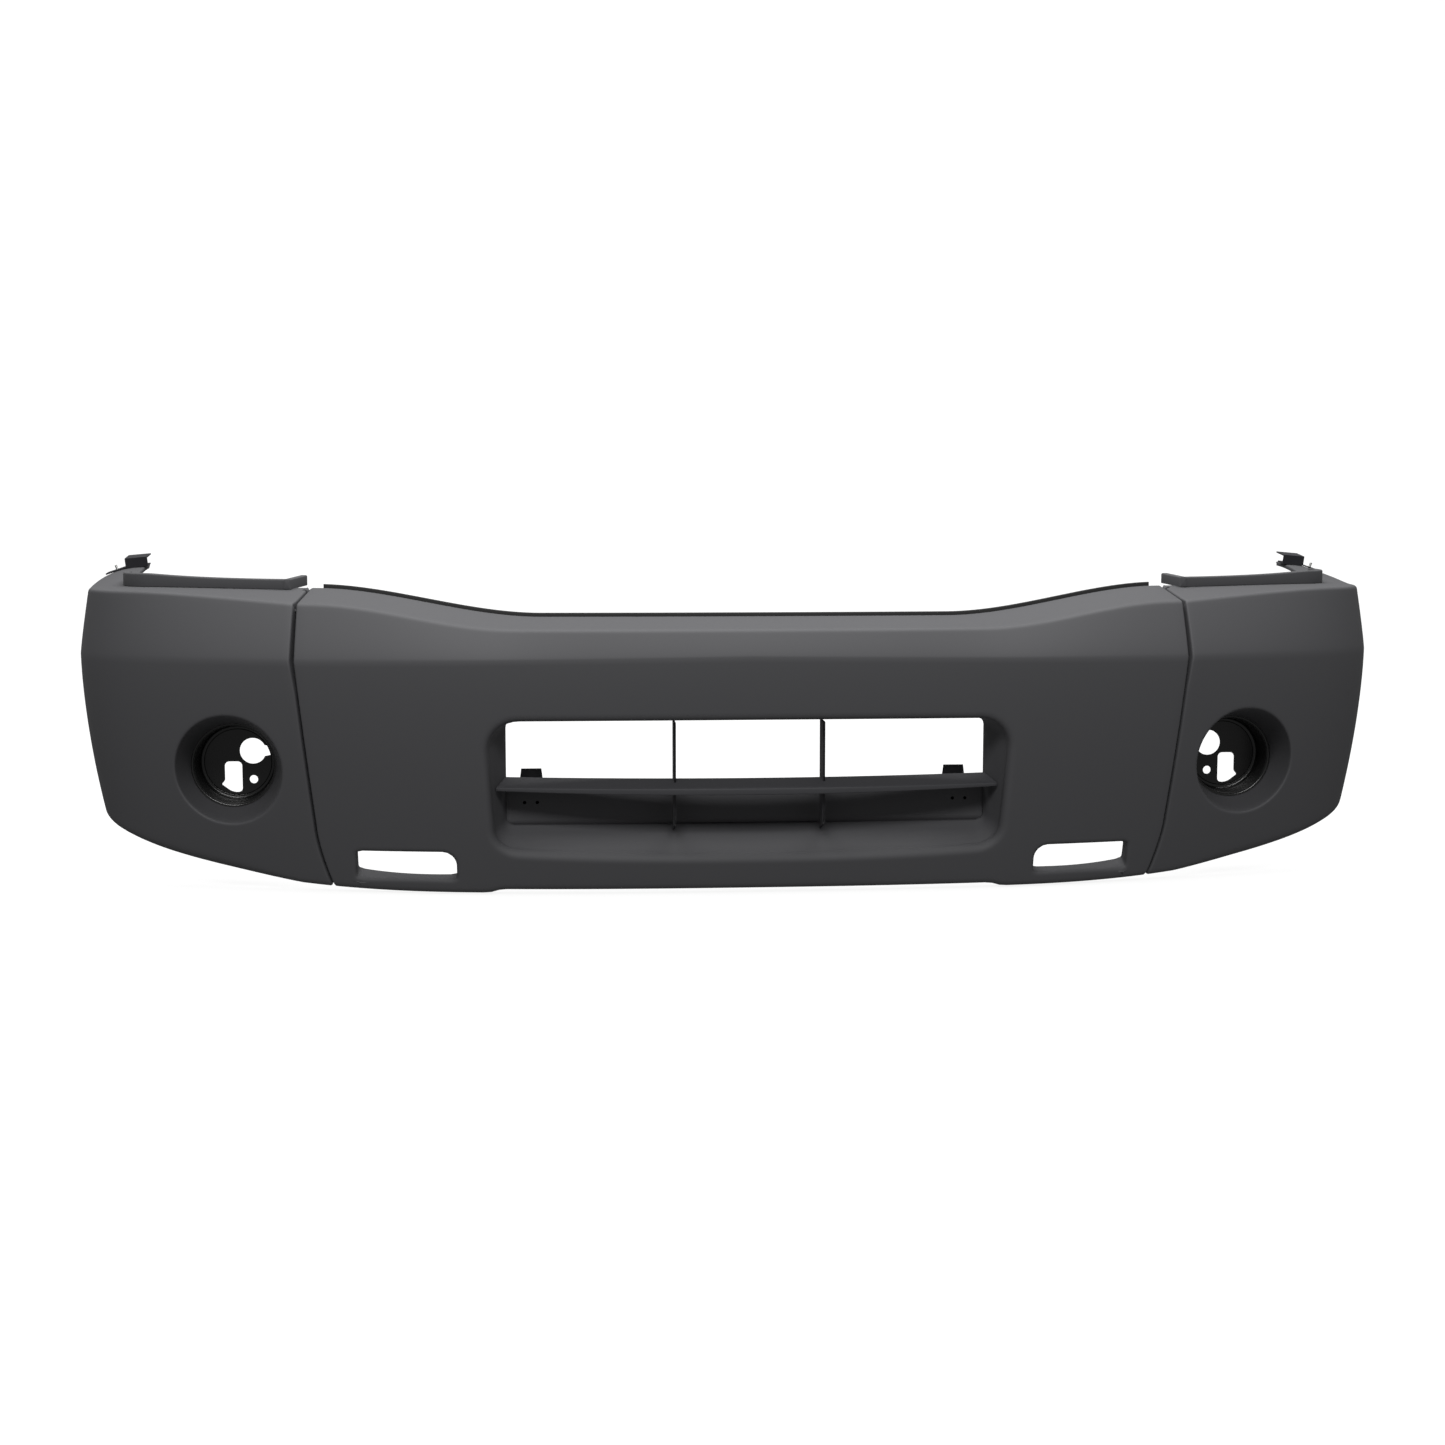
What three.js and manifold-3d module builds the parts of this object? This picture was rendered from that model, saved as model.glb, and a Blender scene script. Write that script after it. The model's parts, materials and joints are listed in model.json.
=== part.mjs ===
// Front bumper cover of a light truck: a moulded centre cover with a lower air intake and two
// tow-hook openings, two wrap-round end covers with fog-lamp pockets, and the pieces that join
// and carry them. Millimetres, +Z up, the nose faces -Y, +X is the vehicle's left-hand side (lh).
// The skins are laid out first from the lowest line of the cover (z = 0) and from the foremost
// line of the nose (y = 0); the last group moves the origin to the upper mounting flange.
import * as THREE from 'three';
import { mergeVertices } from 'three/addons/utils/BufferGeometryUtils.js';
import Module from 'manifold-3d';

// ---- driving dimensions: plan ---------------------------------------------------------------
const SEAM_HALF = 633;          // half width of the centre cover at nose height
const SEAM_SETBACK = 63;        // how far the nose line has swept back at the seam
const NOSE_POWER = 2.5;         // the nose line is flat in the middle and sweeps back late
const END_HALF = 986;           // half width of the whole cover at the wheel arch
const COVER_DEPTH = 525;        // nose to the top corner of the wheel arch
const CORNER_PULL = 14;         // how close the corner control points lie to the side line
const CORNER_REACH = 8.5;
const SWEEP_SLOPE = 0.261;      // slope of the end cover where it leaves the seam
const END_LENGTH = 640;         // path length given to the end curve

// ---- driving dimensions: section ------------------------------------------------------------
const NOSE_HEIGHT = 342;        // foremost line of the section, at the seam
const NOSE_RISE = 8;            // the same line is this much higher in the middle
const CREASE_HEIGHT = 421;      // crease between the face and the top band, at the seam
const CREASE_SETBACK = 31;
const CREASE_SETBACK_MID = 17;
const CREASE_SETBACK_END = 14;
const CREASE_DIP = 34;          // the crease dips by this much under the grille
const CREASE_DIP_START = 330;
const CREASE_CLIMB = 16;        // and climbs by this much round the end cover
const CREASE_CLIMB_SPAN = 0.35;
const CREASE_CLIMB_END = 13;    // further rise beside the wheel arch
const CREASE_RADIUS = 9;
const TOP_HEIGHT = 441;         // rear edge of the top band, at the seam
const TOP_DIP = 40;
const TOP_DIP_START = 290;
const DIP_END = 610;
const TOP_CLIMB = 26;           // rise of the top band towards the wing
const TOP_CLIMB_START = 0.7;
const BAND_DEPTH = 108;         // rear edge of the top band behind the nose line
const BAND_DEPTH_END = 76;
const BAND_CROWN_END = 5;
const LOWER_HEIGHT = 19;        // bottom edge in the middle
const STEP_HEIGHT = 14;         // bottom edge under the inner end of the tow-hook step
const STEP_IN = 369;
const STEP_RAMP = 24;
const SEAM_FOOT_HEIGHT = 24;    // bottom edge at the seam
const CORNER_HEIGHT = 99;       // bottom edge at the outer corner
const CORNER_SPAN = 0.68;
const LOWER_SETBACK = 47;
const LOWER_SETBACK_END = 30;
const LOWER_POWER = 1.7;
const ROLL = 9;                 // rolled bottom edge
const RETURN_DEPTH = 24;        // inward return of the bottom edge
const WALL = 3;                 // moulded wall

// ---- driving dimensions: seam and wheel arch ------------------------------------------------
const SEAM_GAP = 1.6;           // half of the open joint between centre and end covers
const SEAM_LEAN = 24;           // the seam leans inward by this much down the face
const SEAM_HOOK = 24;           // and hooks inward by this much at its foot
const SEAM_HOOK_HEIGHT = 110;
const SEAM_TOP_IN = 12;         // it runs inward across the top band
const FLANGE_DEPTH = 26;        // bolted seam flange behind the skin
const FLANGE_GAP = 0.5;         // half of the gap between the two flanges
const ARCH_RADIUS = 450;
const ARCH_BACK = 175;          // arch centre behind the top rear corner
const ARCH_HEIGHT = 60;

// ---- driving dimensions: lower intake -------------------------------------------------------
const INTAKE_HALF = 367;
const INTAKE_TOP = 263;
const INTAKE_BOTTOM = 68;
const INTAKE_RADIUS = 46;
const INTAKE_BACK_RADIUS = 10;
const INTAKE_BACK = 96;         // rear edge of the intake walls
const SIDE_DRAFT = 0.357;       // the side walls close in by this much per millimetre of depth
const ROOF_DRAFT = 0.08;
const RAMP_SLOPE = 0.714;       // the intake floor climbs at this slope
const SIDE_DRAFT_FROM = 25;
const RAMP_FROM = 42;
const BULKHEAD_TOP = 163;       // closed wall behind the ramp

// ---- driving dimensions: vane, fins and their brackets --------------------------------------
const VANE_FRONT = 20;          // front edge in the middle
const VANE_SWEEP = 36;          // its ends lie this much further back
const VANE_DEPTH = 35;
const VANE_FRONT_HEIGHT = 165;
const VANE_TILT = 11;
const VANE_THICK = 3;
const VANE_LIP = 9;
const VANE_LIP_END = 5;
const VANE_LIP_THICK = 3.5;
const FIN_X = 105;
const FIN_THICK = 3;
const FIN_FRONT = 44;
const FIN_BACK = 84;
const FIN_FOOT = 111;
const FIT_GAP = 0.4;            // general clearance between touching pieces
const BRACKET_INSET = 60;       // from the intake's side to the middle of each vane bracket
const BRACKET_X = INTAKE_HALF - BRACKET_INSET;
const BRACKET_WIDTH = 34;
const BRACKET_TOP_WIDTH = 29;
const BRACKET_REACH = 141;
const BRACKET_TOP = 181;
const TONGUE_WIDTH = 24;
const BRACKET_SCREW_Z = 138;
const BRACKET_SCREW_X = 9;
const STEEL = 2;                // pressed steel thickness

// ---- driving dimensions: tow-hook openings --------------------------------------------------
const TOW_INNER = 411;
const TOW_OUTER = 552;
const TOW_TOP = 74;
const TOW_SILL_INNER = 38;
const TOW_SILL_OUTER = 45;
const TOW_CORNER = 20;
const TOW_DEPTH = 24;           // sleeve depth behind the skin

// ---- driving dimensions: fog-lamp pocket ----------------------------------------------------
const FOG_X = 736;
const FOG_Z = 184;
const FOG_RADIUS = 74;
const FUNNEL_END_RADIUS = 60;
const FUNNEL_BACK = 186;        // rear end of the moulded funnel
const FUNNEL_LIP = 14;          // flat ring round the funnel's rear end
const CUP_RADIUS = 54;
const CUP_BACK = 228;
const CUP_WALL = 2.5;
const LAMP_HOLE_RADIUS = 19;
const LAMP_HOLE = [-21.5, 16];  // towards the middle of the vehicle, up
const AIM_HOLE_RADIUS = 6.5;
const AIM_HOLE = [-22, -26];
const SLOT_HALF_WIDTH = 13;
const SLOT_HALF_HEIGHT = 23;
const SLOT = [7, -22];
const SCREW_CIRCLE = 66;
const FOG_SCREWS = [90, 210, 330];
const FOG_SIDES = 32;

// ---- driving dimensions: headlamp filler, fender bracket ------------------------------------
const FILLER_START = 8;         // path distance from the seam to its inner end
const FILLER_END = 505;
const FILLER_INSET = 13;        // front face ahead of the band's rear edge
const FILLER_THICK = 10;
const FILLER_TOP = 453;         // top edge at its inner end
const FILLER_CLIMB = 7;         // and its rise along the first half
const FILLER_RETURN = 30;       // its inner end turns back by this much,
const FILLER_LEAN = 20;         // inward by this much
const FILLER_RETURN_RISE = 5;   // and up by this much
const FILLER_LIFT = 1.5;        // it stands this far off the curved band
const FILLER_SCREWS = [0.18, 0.82];  // shares of the filler's length
const FILLER_SCREW_RADIUS = 2;
const FILLER_SCREW_LENGTH = 15;
const HEAD_GAP = 1.6;            // flat screw heads stand off the curved underside by this much
const BLIND_GAP = 0.3;          // clearance round the tip of a thread-forming screw
const TAB_LIFT = 1.2;           // the fender bracket's foot stands this far off the band
const TAB_SETBACK = 30;         // from the end of the cover to the middle of the bracket
const TAB_BOLTS_IN = [33, 64];  // setbacks of its two bolts from the nose line
const TAB_FOOT_WIDTH = 34;
const TAB_FOOT_LENGTH = 26;
const TAB_PLATE_WIDTH = 34;
const TAB_PLATE_LENGTH = 40;
const TAB_RISE = 15;

// ---- driving dimensions: fasteners and retainer strip ---------------------------------------
const BOLT_RADIUS = 3;
const BOLT_HEAD = 6.5;
const BOLT_HEAD_THICK = 3.2;
const NUT_THICK = 5;
const HOLE_GAP = 0.6;           // radial clearance of every fastener hole
const SEAM_BOLTS = [0.14, 0.52, 0.9];  // shares of the straight stretch of the seam
const STRIP_HALF = 600;
const STRIP_DEPTH = 30;
const STRIP_THICK = 2.5;
const STRIP_LIP = 5;
const STRIP_LIP_THICK = 3;
const STRIP_CLEAR = 1.6;        // the strip stands this far behind the band's rear edge
const UPPER_FLANGE_HALF = 262;
const UPPER_FLANGE_DEPTH = 34;
const UPPER_FLANGE_THICK = 4;
const PUSH_PIN_X = [90, 210];
const PIN_SHANK = 4;
const PIN_STEM = 1.9;
const PIN_HEAD = 10;
const PIN_CAP = 6;
const PIN_LENGTH = 17;
const PIN_SIDES = 14;

const wasm = await Module();
wasm.setup();

const smooth = (t) => {
  const c = Math.min(1, Math.max(0, t));
  return c * c * (3 - 2 * c);
};
const mix = (a, b, t) => a + (b - a) * t;
const steps = (n) => Array.from({ length: n + 1 }, (_, i) => i / n);

// ---- solids ---------------------------------------------------------------------------------
// A closed three.js geometry becomes a solid for joining and cutting.
function solid(geometry) {
  const bare = geometry.clone();
  bare.deleteAttribute('normal');
  bare.deleteAttribute('uv');
  const joined = mergeVertices(bare, 1e-4);
  const made = new wasm.Manifold(new wasm.Mesh({
    numProp: 3,
    vertProperties: new Float32Array(joined.attributes.position.array),
    triVerts: new Uint32Array(joined.index.array),
  }));
  return made;
}

function geometryOf(body) {
  const mesh = body.getMesh();
  const geometry = new THREE.BufferGeometry();
  geometry.setAttribute('position', new THREE.BufferAttribute(new Float32Array(mesh.vertProperties), 3));
  geometry.setIndex(new THREE.BufferAttribute(new Uint32Array(mesh.triVerts), 1));
  return geometry;
}

const join = (...bodies) => bodies.reduce((sum, body) => sum.add(body));
const moved = (geometry, x, y, z) => geometry.clone().translate(x, y, z);

// Signed volume, to point the faces outward.
function volumeOf(positions, index) {
  let sum = 0;
  for (let i = 0; i < index.length; i += 3) {
    const [a, b, c] = [index[i], index[i + 1], index[i + 2]].map((k) => positions[k]);
    sum += a[0] * (b[1] * c[2] - b[2] * c[1]);
    sum += a[1] * (b[2] * c[0] - b[0] * c[2]);
    sum += a[2] * (b[0] * c[1] - b[1] * c[0]);
  }
  return sum;
}

function closedGeometry(positions, index) {
  if (volumeOf(positions, index) < 0) {
    for (let i = 0; i < index.length; i += 3) {
      [index[i], index[i + 1]] = [index[i + 1], index[i]];
    }
  }
  const geometry = new THREE.BufferGeometry();
  geometry.setAttribute('position', new THREE.Float32BufferAttribute(positions.flat(), 3));
  geometry.setIndex(index);
  return geometry;
}

// A closed body through a row of rings with the same number of points, with flat ends.
function loft(rings) {
  const count = rings[0].length;
  const positions = rings.flat();
  const index = [];
  for (let i = 0; i + 1 < rings.length; i += 1) {
    for (let j = 0; j < count; j += 1) {
      const a = i * count + j;
      const b = i * count + (j + 1) % count;
      index.push(a, b, b + count, a, b + count, a + count);
    }
  }
  const last = (rings.length - 1) * count;
  for (let j = 1; j + 1 < count; j += 1) {
    index.push(0, j + 1, j);
    index.push(last, last + j, last + j + 1);
  }
  return closedGeometry(positions, index);
}

// A closed body between two grids of points that lie over each other.
function between(front, back) {
  const rows = front.length;
  const cols = front[0].length;
  const positions = [...front.flat(), ...back.flat()];
  const half = rows * cols;
  const index = [];
  const quad = (a, b, c, d) => index.push(a, b, c, a, c, d);
  for (let i = 0; i + 1 < rows; i += 1) {
    for (let j = 0; j + 1 < cols; j += 1) {
      const a = i * cols + j;
      quad(a, a + 1, a + cols + 1, a + cols);
      quad(half + a, half + a + cols, half + a + cols + 1, half + a + 1);
    }
  }
  for (let j = 0; j + 1 < cols; j += 1) {
    const top = (rows - 1) * cols + j;
    quad(j + 1, j, half + j, half + j + 1);
    quad(top, top + 1, half + top + 1, half + top);
  }
  for (let i = 0; i + 1 < rows; i += 1) {
    const left = i * cols;
    const right = left + cols - 1;
    quad(left, left + cols, half + left + cols, half + left);
    quad(right + cols, right, half + right, half + right + cols);
  }
  return closedGeometry(positions, index);
}

// ---- the skin -------------------------------------------------------------------------------
// Nose line in plan. s runs outward from the middle: the width itself on the centre cover, then
// the share of a cubic curve round the corner. The inward direction turns with the corner.
function noseLine(s) {
  if (s <= SEAM_HALF) {
    return { x: s, y: SEAM_SETBACK * (s / SEAM_HALF) ** NOSE_POWER, inX: 0, inY: 1, t: 0 };
  }
  const t = Math.min(1, (s - SEAM_HALF) / END_LENGTH);
  const pullX = END_HALF - CORNER_PULL;
  const pullY = SEAM_SETBACK + SWEEP_SLOPE * (pullX - SEAM_HALF);
  const curve = new THREE.CubicBezierCurve(
    new THREE.Vector2(SEAM_HALF, SEAM_SETBACK),
    new THREE.Vector2(pullX, pullY),
    new THREE.Vector2(END_HALF - CORNER_PULL + 4, pullY + CORNER_REACH),
    new THREE.Vector2(END_HALF, COVER_DEPTH),
  );
  const point = curve.getPoint(t);
  const along = curve.getTangent(t);
  const turn = Math.atan2(along.y, along.x) * smooth(t / 0.45);
  return { x: point.x, y: point.y, inX: -Math.sin(turn), inY: Math.cos(turn), t };
}

// The heights and setbacks of the section at s.
function sectionAt(s) {
  const line = noseLine(s);
  const a = Math.min(s, SEAM_HALF);
  const t = line.t;
  const nose = NOSE_HEIGHT + NOSE_RISE * (1 - a / SEAM_HALF);
  const creaseDip = 1 - smooth((a - CREASE_DIP_START) / (DIP_END - CREASE_DIP_START));
  const topDip = 1 - smooth((a - TOP_DIP_START) / (DIP_END - TOP_DIP_START));
  const creaseClimb = 1 - (1 - Math.min(1, t / CREASE_CLIMB_SPAN)) ** 2;
  const climb = smooth((t - TOP_CLIMB_START) / (1 - TOP_CLIMB_START));
  const crease = CREASE_HEIGHT - CREASE_DIP * creaseDip + CREASE_CLIMB * creaseClimb
    + CREASE_CLIMB_END * climb;
  const creaseIn = mix(CREASE_SETBACK_MID, CREASE_SETBACK, smooth((a - 200) / 400))
    + (CREASE_SETBACK_END - CREASE_SETBACK) * smooth(t / 0.6);
  const top = TOP_HEIGHT - TOP_DIP * topDip + TOP_CLIMB * climb;
  const topIn = mix(BAND_DEPTH, BAND_DEPTH_END, smooth(t / 0.7));
  const crown = BAND_CROWN_END * climb;
  const footShare = Math.max(0, (a - STEP_IN) / (SEAM_HALF - STEP_IN));
  const ramp = (SEAM_FOOT_HEIGHT - STEP_HEIGHT) * footShare ** 2.5;
  let low = LOWER_HEIGHT;
  if (a > STEP_IN - STEP_RAMP) {
    low = mix(LOWER_HEIGHT, STEP_HEIGHT, smooth((a - STEP_IN + STEP_RAMP) / STEP_RAMP)) + ramp;
  }
  low += (CORNER_HEIGHT - SEAM_FOOT_HEIGHT) * (1 - (1 - Math.min(1, t / CORNER_SPAN)) ** 1.5);
  const lowIn = mix(LOWER_SETBACK, LOWER_SETBACK_END, smooth(t / 0.6));
  return { line, nose, crease, creaseIn, top, topIn, crown, low, lowIn };
}

// The section as [setback, height] pairs from the bottom return up to the rear of the top band.
const LOWER_ROWS = [0.14, 0.3, 0.46, 0.62, 0.8, 1];
const UPPER_ROWS = [0.5];
const BAND_ROWS = [0.5, 1];
function sectionPoints(s) {
  const p = sectionAt(s);
  const faceIn = (z) => p.lowIn * ((p.nose - z) / (p.nose - p.low)) ** LOWER_POWER;
  const start = p.low + ROLL;
  const points = [
    [p.lowIn + RETURN_DEPTH, p.low + 1],
    [p.lowIn + ROLL, p.low],
    [p.lowIn + ROLL * 0.25, p.low + ROLL * 0.3],
    [faceIn(start), start],
  ];
  LOWER_ROWS.forEach((f) => {
    const z = mix(start, p.nose, f);
    points.push([faceIn(Math.min(z, p.nose)), z]);
  });
  const faceLength = Math.hypot(p.creaseIn, p.crease - p.nose);
  const bandLength = Math.hypot(p.topIn - p.creaseIn, p.top - p.crease);
  const before = 1 - CREASE_RADIUS / faceLength;
  const after = CREASE_RADIUS / bandLength;
  const onFace = (f) => [p.creaseIn * f ** 1.15, mix(p.nose, p.crease, f)];
  const lift = (f) => p.crown * Math.sin(Math.PI * f);
  const onBand = (f) => [mix(p.creaseIn, p.topIn, f), mix(p.crease, p.top, f) + lift(f)];
  const a = onFace(before);
  const b = onBand(after);
  UPPER_ROWS.forEach((f) => points.push(onFace(before * f)));
  points.push(a);
  points.push([(a[0] + 2 * p.creaseIn + b[0]) / 4, (a[1] + 2 * p.crease + b[1]) / 4]);
  points.push(b);
  BAND_ROWS.forEach((f) => points.push(onBand(mix(after, 1, f))));
  return points;
}
const ROW_COUNT = sectionPoints(0).length;

// A point of the skin on row q at s; side is -1 or 1.
function skinPoint(s, row, side = 1) {
  const [inward, z] = sectionPoints(s)[row];
  const line = noseLine(s);
  return [side * (line.x + inward * line.inX), line.y + inward * line.inY, z];
}

// Depth of the skin at a place on the lower face of the centre cover.
function faceDepth(x, z) {
  const p = sectionAt(Math.abs(x));
  const below = Math.max(0, p.nose - z) / (p.nose - p.low);
  return p.line.y + p.lowIn * below ** LOWER_POWER;
}

// Half width of the seam at a height.
function seamHalf(z, sectionTop = TOP_HEIGHT) {
  if (z > CREASE_HEIGHT) {
    return SEAM_HALF - 2 - SEAM_TOP_IN * (z - CREASE_HEIGHT) / (sectionTop - CREASE_HEIGHT);
  }
  if (z > NOSE_HEIGHT) {
    return SEAM_HALF - 2 * (z - NOSE_HEIGHT) / (CREASE_HEIGHT - NOSE_HEIGHT);
  }
  const down = (NOSE_HEIGHT - z) / (NOSE_HEIGHT - SEAM_HOOK_HEIGHT);
  const hook = Math.max(0, SEAM_HOOK_HEIGHT - z) / (SEAM_HOOK_HEIGHT - LOWER_HEIGHT);
  return SEAM_HALF - SEAM_LEAN * Math.min(1, down) - SEAM_HOOK * hook ** 1.5;
}

const seamAt = (row) => seamHalf(sectionPoints(SEAM_HALF)[row][1]);

// Path position where a row meets the wheel arch.
function archAt(row) {
  let low = SEAM_HALF;
  let high = SEAM_HALF + END_LENGTH;
  const centreY = COVER_DEPTH + ARCH_BACK;
  for (let i = 0; i < 30; i += 1) {
    const middle = (low + high) / 2;
    const [, y, z] = skinPoint(middle, row);
    const clear = Math.hypot(y - centreY, z - ARCH_HEIGHT) > ARCH_RADIUS;
    if (clear) {
      low = middle;
    } else {
      high = middle;
    }
  }
  return low;
}

// Unit normals of a grid, pointing to the hollow side.
function inwardNormals(grid, flip) {
  const at = (i, j) => new THREE.Vector3(...grid[i][j]);
  return grid.map((line, i) => line.map((_, j) => {
    const up = at(Math.min(i + 1, grid.length - 1), j).sub(at(Math.max(i - 1, 0), j));
    const along = at(i, Math.min(j + 1, line.length - 1)).sub(at(i, Math.max(j - 1, 0)));
    return along.cross(up).normalize().multiplyScalar(-flip);
  }));
}

function shell(grid, thickness, flip = 1) {
  const normals = inwardNormals(grid, flip);
  const back = grid.map((line, i) => line.map((p, j) => {
    const n = normals[i][j];
    return [p[0] + n.x * thickness, p[1] + n.y * thickness, p[2] + n.z * thickness];
  }));
  return between(grid, back);
}

// ---- centre cover ---------------------------------------------------------------------------
const CENTRE_STATIONS = [0, 70, 140, 210, 270, 320, 345, 369, 410, 450, 500, 550];

function centreGrid() {
  const outward = [...CENTRE_STATIONS, null];
  const grid = [];
  for (let row = 0; row < ROW_COUNT; row += 1) {
    const edge = seamAt(row) - SEAM_GAP;
    const scale = (s) => (s === null ? edge : s);
    const right = outward.map((s) => skinPoint(scale(s), row, 1));
    const left = outward.slice(1).reverse().map((s) => skinPoint(scale(s), row, -1));
    grid.push([...left, ...right]);
  }
  return grid;
}

// Rounded outline of the intake at a depth; grow widens it on every side.
function intakeRing(y, grow) {
  const half = INTAKE_HALF - SIDE_DRAFT * (y - SIDE_DRAFT_FROM) + grow;
  const top = INTAKE_TOP - ROOF_DRAFT * y + grow;
  const bottom = INTAKE_BOTTOM + RAMP_SLOPE * (y - RAMP_FROM) - grow;
  const closing = Math.max(0, (y - SIDE_DRAFT_FROM) / (INTAKE_BACK - SIDE_DRAFT_FROM));
  const radius = mix(INTAKE_RADIUS, INTAKE_BACK_RADIUS, closing) + grow / 2;
  const ring = [];
  const corners = [[1, 1, 0], [-1, 1, 90], [-1, -1, 180], [1, -1, 270]];
  corners.forEach(([sx, sz, start]) => {
    steps(5).forEach((f) => {
      const angle = (start + 90 * f) * Math.PI / 180;
      const x = sx * (half - radius) + radius * Math.cos(angle);
      const z = (sz > 0 ? top - radius : bottom + radius) + radius * Math.sin(angle);
      ring.push([x, y, z]);
    });
  });
  return ring;
}

function intakeLoft(from, to, grow) {
  return loft([intakeRing(from, grow), intakeRing(SIDE_DRAFT_FROM, grow), intakeRing(to, grow)]);
}

// Everything behind the outer skin of the centre cover, down to the given depth behind it.
function behindSkin(depth) {
  const front = centreGrid().slice(1);
  const back = front.map((line) => line.map((p) => [p[0], p[1] + depth, p[2]]));
  return solid(between(front, back));
}

function towShape(grow) {
  const shape = new THREE.Shape();
  const r = TOW_CORNER + grow;
  shape.moveTo(TOW_INNER - grow, TOW_SILL_INNER - grow);
  shape.lineTo(TOW_OUTER + grow, TOW_SILL_OUTER - grow);
  shape.lineTo(TOW_OUTER + grow, TOW_TOP + grow);
  shape.lineTo(TOW_INNER - grow + r, TOW_TOP + grow);
  shape.quadraticCurveTo(TOW_INNER - grow, TOW_TOP + grow, TOW_INNER - grow, TOW_TOP + grow - r);
  shape.closePath();
  return shape;
}

// A shape drawn in the width and height plane, extruded backwards from y = from to y = to.
function extrudedBack(shape, from, to, segments = 6) {
  const options = { depth: to - from, bevelEnabled: false, curveSegments: segments };
  return new THREE.ExtrudeGeometry(shape, options).rotateX(Math.PI / 2).translate(0, to, 0);
}

function mirrored(geometry) {
  const copy = geometry.clone().scale(-1, 1, 1);
  const index = copy.index ? copy.index.array : null;
  const flipped = new THREE.BufferGeometry();
  flipped.setAttribute('position', copy.attributes.position);
  const order = index ? Array.from(index) : steps(copy.attributes.position.count - 1).map((_, i) => i);
  for (let i = 0; i < order.length; i += 3) {
    [order[i], order[i + 1]] = [order[i + 1], order[i]];
  }
  flipped.setIndex(order);
  return flipped;
}
const handed = (geometry, side) => (side > 0 ? geometry : mirrored(geometry));

function rod(radius, length, sides = 10) {
  return new THREE.CylinderGeometry(radius, radius, length, sides);
}

// Seam flange: a rib along the seam, side -1 for the centre cover's, 1 for the end cover's.
function seamFlange(inner) {
  const rings = [];
  const from = sectionAt(SEAM_HALF).low + ROLL;
  const to = CREASE_HEIGHT - 2 * CREASE_RADIUS;
  const near = inner ? -FLANGE_GAP : FLANGE_GAP;
  const far = inner ? near - WALL : near + WALL;
  const hook = steps(3).map((f) => mix(from, SEAM_HOOK_HEIGHT, f));
  const straight = steps(2).slice(1).map((f) => mix(SEAM_HOOK_HEIGHT, NOSE_HEIGHT, f));
  [...hook, ...straight, to].forEach((z) => {
    const x = seamHalf(z);
    const y = faceDepth(SEAM_HALF, z) + Math.max(0, z - NOSE_HEIGHT) * 0.4 + WALL / 2;
    const back = y + FLANGE_DEPTH;
    rings.push([[x + near, y, z], [x + far, y, z], [x + far, back, z], [x + near, back, z]]);
  });
  return loft(rings);
}

// Where a seam bolt sits: its own +Y runs outward, square to the leaning flanges.
function seamMatrix(share, side, shift = 0) {
  const z = mix(SEAM_HOOK_HEIGHT, NOSE_HEIGHT, share);
  const lean = (seamHalf(z + 4) - seamHalf(z - 4)) / 8;
  const axis = new THREE.Vector3(side, 0, -lean).normalize();
  const y = faceDepth(SEAM_HALF, z) + Math.max(0, z - NOSE_HEIGHT) * 0.4 + FLANGE_DEPTH * 0.6;
  const place = new THREE.Vector3(side * seamHalf(z), y, z).addScaledVector(axis, shift);
  const turn = new THREE.Quaternion().setFromUnitVectors(new THREE.Vector3(0, 1, 0), axis);
  return new THREE.Matrix4().compose(place, turn, new THREE.Vector3(1, 1, 1));
}

function seamBoltHoles(side) {
  return SEAM_BOLTS.map((share) => {
    const hole = rod(BOLT_RADIUS + HOLE_GAP, 30).applyMatrix4(seamMatrix(share, side));
    return solid(hole);
  });
}

const topEdgeMid = sectionAt(0);
const FLANGE_TOP = topEdgeMid.top - WALL;
const FLANGE_BACK = BAND_DEPTH + UPPER_FLANGE_DEPTH;
const PIN_Y = BAND_DEPTH + UPPER_FLANGE_DEPTH * 0.55 + 2;

function upperFlange() {
  const depth = UPPER_FLANGE_DEPTH + 8;
  const plate = new THREE.BoxGeometry(2 * UPPER_FLANGE_HALF, depth, UPPER_FLANGE_THICK);
  plate.translate(0, FLANGE_BACK - depth / 2, FLANGE_TOP - UPPER_FLANGE_THICK / 2);
  return solid(plate);
}

function pushPinHoles(radius) {
  const places = PUSH_PIN_X.flatMap((x) => [-x, x]);
  return places.map((x) => solid(moved(rod(radius, 60, 16).rotateX(Math.PI / 2), x, PIN_Y, FLANGE_TOP)));
}

function towSleeve(side) {
  const outer = extrudedBack(towShape(WALL), -20, 160);
  const inner = extrudedBack(towShape(0), -30, 170);
  return { outer: solid(handed(outer, side)), inner: solid(handed(inner, side)) };
}

function bulkhead() {
  const ring = intakeRing(INTAKE_BACK, WALL);
  const wall = loft([ring, ring.map(([x, y, z]) => [x, y + WALL, z])]);
  const height = 200;
  const cutter = new THREE.BoxGeometry(4 * INTAKE_HALF, 60, height);
  cutter.translate(0, INTAKE_BACK, BULKHEAD_TOP + height / 2);
  return solid(wall).subtract(solid(cutter));
}

function bracketScrewPlaces(side) {
  const y = INTAKE_BACK + WALL;
  return [-BRACKET_SCREW_X, BRACKET_SCREW_X].map((dx) => [side * BRACKET_X + dx, y, BRACKET_SCREW_Z]);
}

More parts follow.
